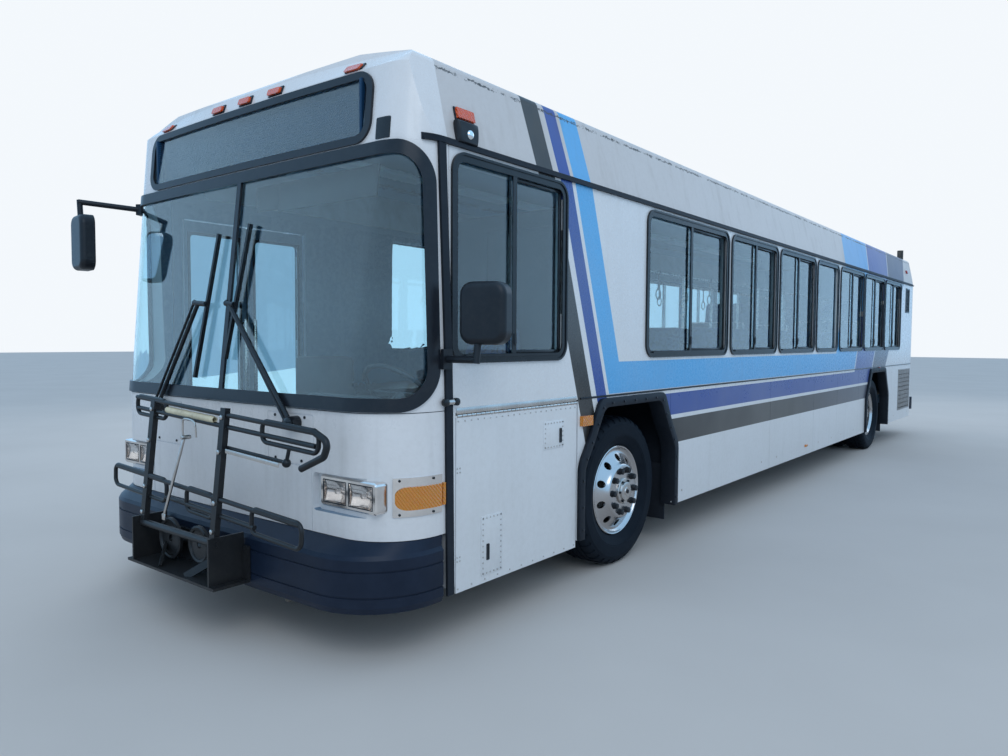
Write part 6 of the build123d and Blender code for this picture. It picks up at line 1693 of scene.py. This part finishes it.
PIPE_LINE = ((0.30, 8.65, 0.62), (0.52, 8.75, 0.60), (0.78, 8.95, 0.62), (0.98, 9.15, 0.75), (1.08, 9.26, 1.05),
             (1.12, 9.30, 1.60), (1.13, 9.30, 2.30), (1.13, 9.30, 2.80))
pipe = bent_wire("exhaust_pipe", [(x, station(y), z) for x, y, z in PIPE_LINE], 0.045)
hand_over(pipe, chassis_black, "body", "steel")
flaps = [rounded_block("flap", (0.40, 0.010, 0.42), (side * 1.02, station(axle_y + ARCH_BEHIND + 0.655), z), 0.003)
         for side in (1, -1) for axle_y, z in ((0.0, 0.385), (WHEELBASE, 0.40))]
hand_over(joined("mud_flaps", flaps), rubber)
CHAMBER_SECTION = [(0, 0), (0, 0.055), (0.02, 0.075), (0.05, 0.080), (0.06, 0.086), (0.07, 0.080), (0.11, 0.070),
                   (0.13, 0.045), (0.13, 0)]
brakes = [lathe("chamber", CHAMBER_SECTION, 24, (side * 0.48, REAR_AXLE_Y - 0.075, HUB_Z + 0.03), (0, -1, 0.15))
          for side in (1, -1)]
hand_over(joined("brake_chambers", brakes), chassis_black, "body", "chassis")
print("underside ready")

# %% [markdown]
# On the roof, panel joints are covered by thin strips, each hatch has five low ribs, and a small antenna
# foot stands in front. A strip follows the roof's bow in short plates, each laid between two points that
# rays find on the surface.

# %% Roof
STRIP_STEPS = 14
STRIP_HALF = 1.10
FLAT_ROOF_Z = 2.945


def roof_point(x, y):
    """The point of the roof's skin straight over a place."""
    return surface_at("roof", (x, y, 4.0), (0, 0, -1))[0]


strips = []
for index in range(7):
    y = station(-1.796 + 1.62 * (index + 0.9))
    for step in range(STRIP_STEPS):
        x0 = -STRIP_HALF + 2 * STRIP_HALF * step / STRIP_STEPS
        x1 = x0 + 2 * STRIP_HALF / STRIP_STEPS
        start, end = roof_point(x0, y), roof_point(x1, y)
        if abs(start.z - end.z) > 0.03 or max(start.z, end.z) > FLAT_ROOF_Z:
            continue
        tilt = math.degrees(math.atan2(end.z - start.z, end.x - start.x))
        strips.append(rounded_block("strip", ((end - start).length + 0.002, 0.045, 0.004),
                                    ((start.x + end.x) / 2, y, (start.z + end.z) / 2 + 0.0012), 0, 1,
                                    turned(-tilt, "Y")))
roof_strips = joined("roof_joint_strips", strips)
tidy_mesh(roof_strips, 0.0005)
hand_over(roof_strips, roof_paint, "body", "body_paint")
for hatch_name, body_name in (("roof_hatch_front", "hatch_front"), ("roof_hatch_rear", "hatch_rear")):
    low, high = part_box(hatch_name)
    middle = ((low[0] + high[0]) / 2, (low[1] + high[1]) / 2)
    rib = rounded_block("rib", (0.46, 0.030, 0.008), (0, 0, 0), 0.003)
    ribs = copies(rib, hatch_name + "_ribs",
                  [at(middle[0], middle[1] + 0.11 * step, high[2] + 0.0022) for step in (-2, -1, 0, 1, 2)])
    hand_over(ribs, roof_paint, body_name, "body_paint")
ANTENNA = (0.25, station(-1.30))
antenna = lathe("antenna_foot", [(0, 0), (0, 0.045), (0.012, 0.043), (0.020, 0.030), (0.024, 0.010), (0.024, 0)], 24,
                (*ANTENNA, roof_point(*ANTENNA).z - 0.002), (0, 0, 1))
hand_over(antenna, black_plastic)
print("roof strips:", len(strips))

# %% [markdown]
# A grey wire screen covers the radiator grille behind the left rear wheel, and a black one the slot high
# up. A screen is a thin plate with crossed wires on it and a slim frame round it.

# %% Grille screens
mesh_grey = make_plain("mesh_grey", (0.30, 0.31, 0.32), (0.20, 0.19, 0.17), 0.50, 0.12, 500.0, 0.30, 0.20)
WIRE_PITCH = 0.024
# first and last station, lowest and highest z, and finish of each screen
GRILLES = (("low", 8.556, 9.444, 0.448, 1.087, mesh_grey), ("high", 8.942, 9.248, 1.982, 2.368, frame_black))


def between(first, last):
    """Even steps between two places, about a wire's pitch apart."""
    count = round((last - first) / WIRE_PITCH)
    return [first + (last - first) * index / count for index in range(1, count)]


for grille, y0, y1, z0, z1, finish in GRILLES:
    y0, y1 = station(y0), station(y1)
    middle = ((y0 + y1) / 2, (z0 + z1) / 2)
    plate = rounded_block("plate", (0.004, y1 - y0, z1 - z0), (SKIN_X - 0.002, *middle), 0.001)
    frame_bars = [rounded_block("bar", (0.008, y1 - y0, 0.018), (SKIN_X, middle[0], z), 0.002)
                  for z in (z0 + 0.009, z1 - 0.009)]
    frame_bars += [rounded_block("bar", (0.008, 0.018, z1 - z0), (SKIN_X, y, middle[1]), 0.002)
                   for y in (y0 + 0.009, y1 - 0.009)]
    wires = [rod("wire", (SKIN_X + 0.0005, y, z0), (SKIN_X + 0.0005, y, z1), 0.0016, 6) for y in between(y0, y1)]
    wires += [rod("wire", (SKIN_X + 0.0012, y0, z), (SKIN_X + 0.0012, y1, z), 0.0016, 6) for z in between(z0, z1)]
    hand_over(joined("grille_screen_" + grille, [plate, *frame_bars, *wires]), finish, "body", "frame_black")
print("grille screens ready")

# %% [markdown]
# The frame's wipers are whole but for their pivots. Each pivot gets a domed cap, which is turned and
# set down on the surface that a ray finds.

# %% Wiper caps
CAP_SECTION = [(0, 0), (0, 0.030), (0.006, 0.029), (0.014, 0.018), (0.016, 0)]
caps = [moved(lathe("cap", CAP_SECTION, 24, (0, 0, 0), (0, 0, 1)), on_front("wipers", x, z))
        for x, z in ((0.660, 1.100), (-0.625, 1.110))]
hand_over(joined("wiper_caps", caps), frame_black)
print("wiper caps:", len(caps))

# %% [markdown]
# Small lamps mark the sides: a dark-red one behind the rear wheel's middle and another high on the cove
# near the rear, and an amber one low on the skirt. Each is a block with rounded edges.

# %% Side marker lamps
# station, z, length and height of the lamps on the skirt
SKIRT_LAMPS = (("side_red_lamps", red, "red", 7.250, 1.150, 0.062, 0.022),
               ("side_amber_lamp", amber, "amber", 3.890, 0.396, 0.070, 0.026))
for name, finish, slot_name, y, z, long, tall in SKIRT_LAMPS:
    lamps = [rounded_block("lamp", (0.018, long, tall), (side * (SKIN_X + 0.006), station(y), z), 0.006, 3)
             for side in (1, -1)]
    hand_over(joined(name, lamps), finish, "body", slot_name)
cove_lamps = [moved(rounded_block("lamp", (0.100, 0.050, 0.026), (0, 0, 0.009), 0.008, 3),
                    standing_on("roof", (side * 2.0, station(9.20), 2.640), (-side, 0, 0))) for side in (1, -1)]
hand_over(joined("cove_red_lamps", cove_lamps), red)
print("marker lamps ready")

# %% [markdown]
# The floor is a plain pale plane, far larger than the bus. It is stage, not part of the object.

# %% Floor
begin()
bpy.ops.mesh.primitive_plane_add(size=160.0, location=(0, 0, 0))
floor = bpy.context.object
floor.name = "floor"
floor_finish, floor_tree, floor_shader = new_finish("pale_floor", Roughness=0.9)
floor_cloud = add_ramp(floor_tree, add_noise(floor_tree, object_place(floor_tree)[0], 0.6), 0.3, 0.7)
feed_all(floor_tree, floor_shader,
         Base_Color=add_mix(floor_tree, floor_cloud, (0.60, 0.60, 0.595), (0.64, 0.64, 0.635)))
floor.data.materials.append(floor_finish)
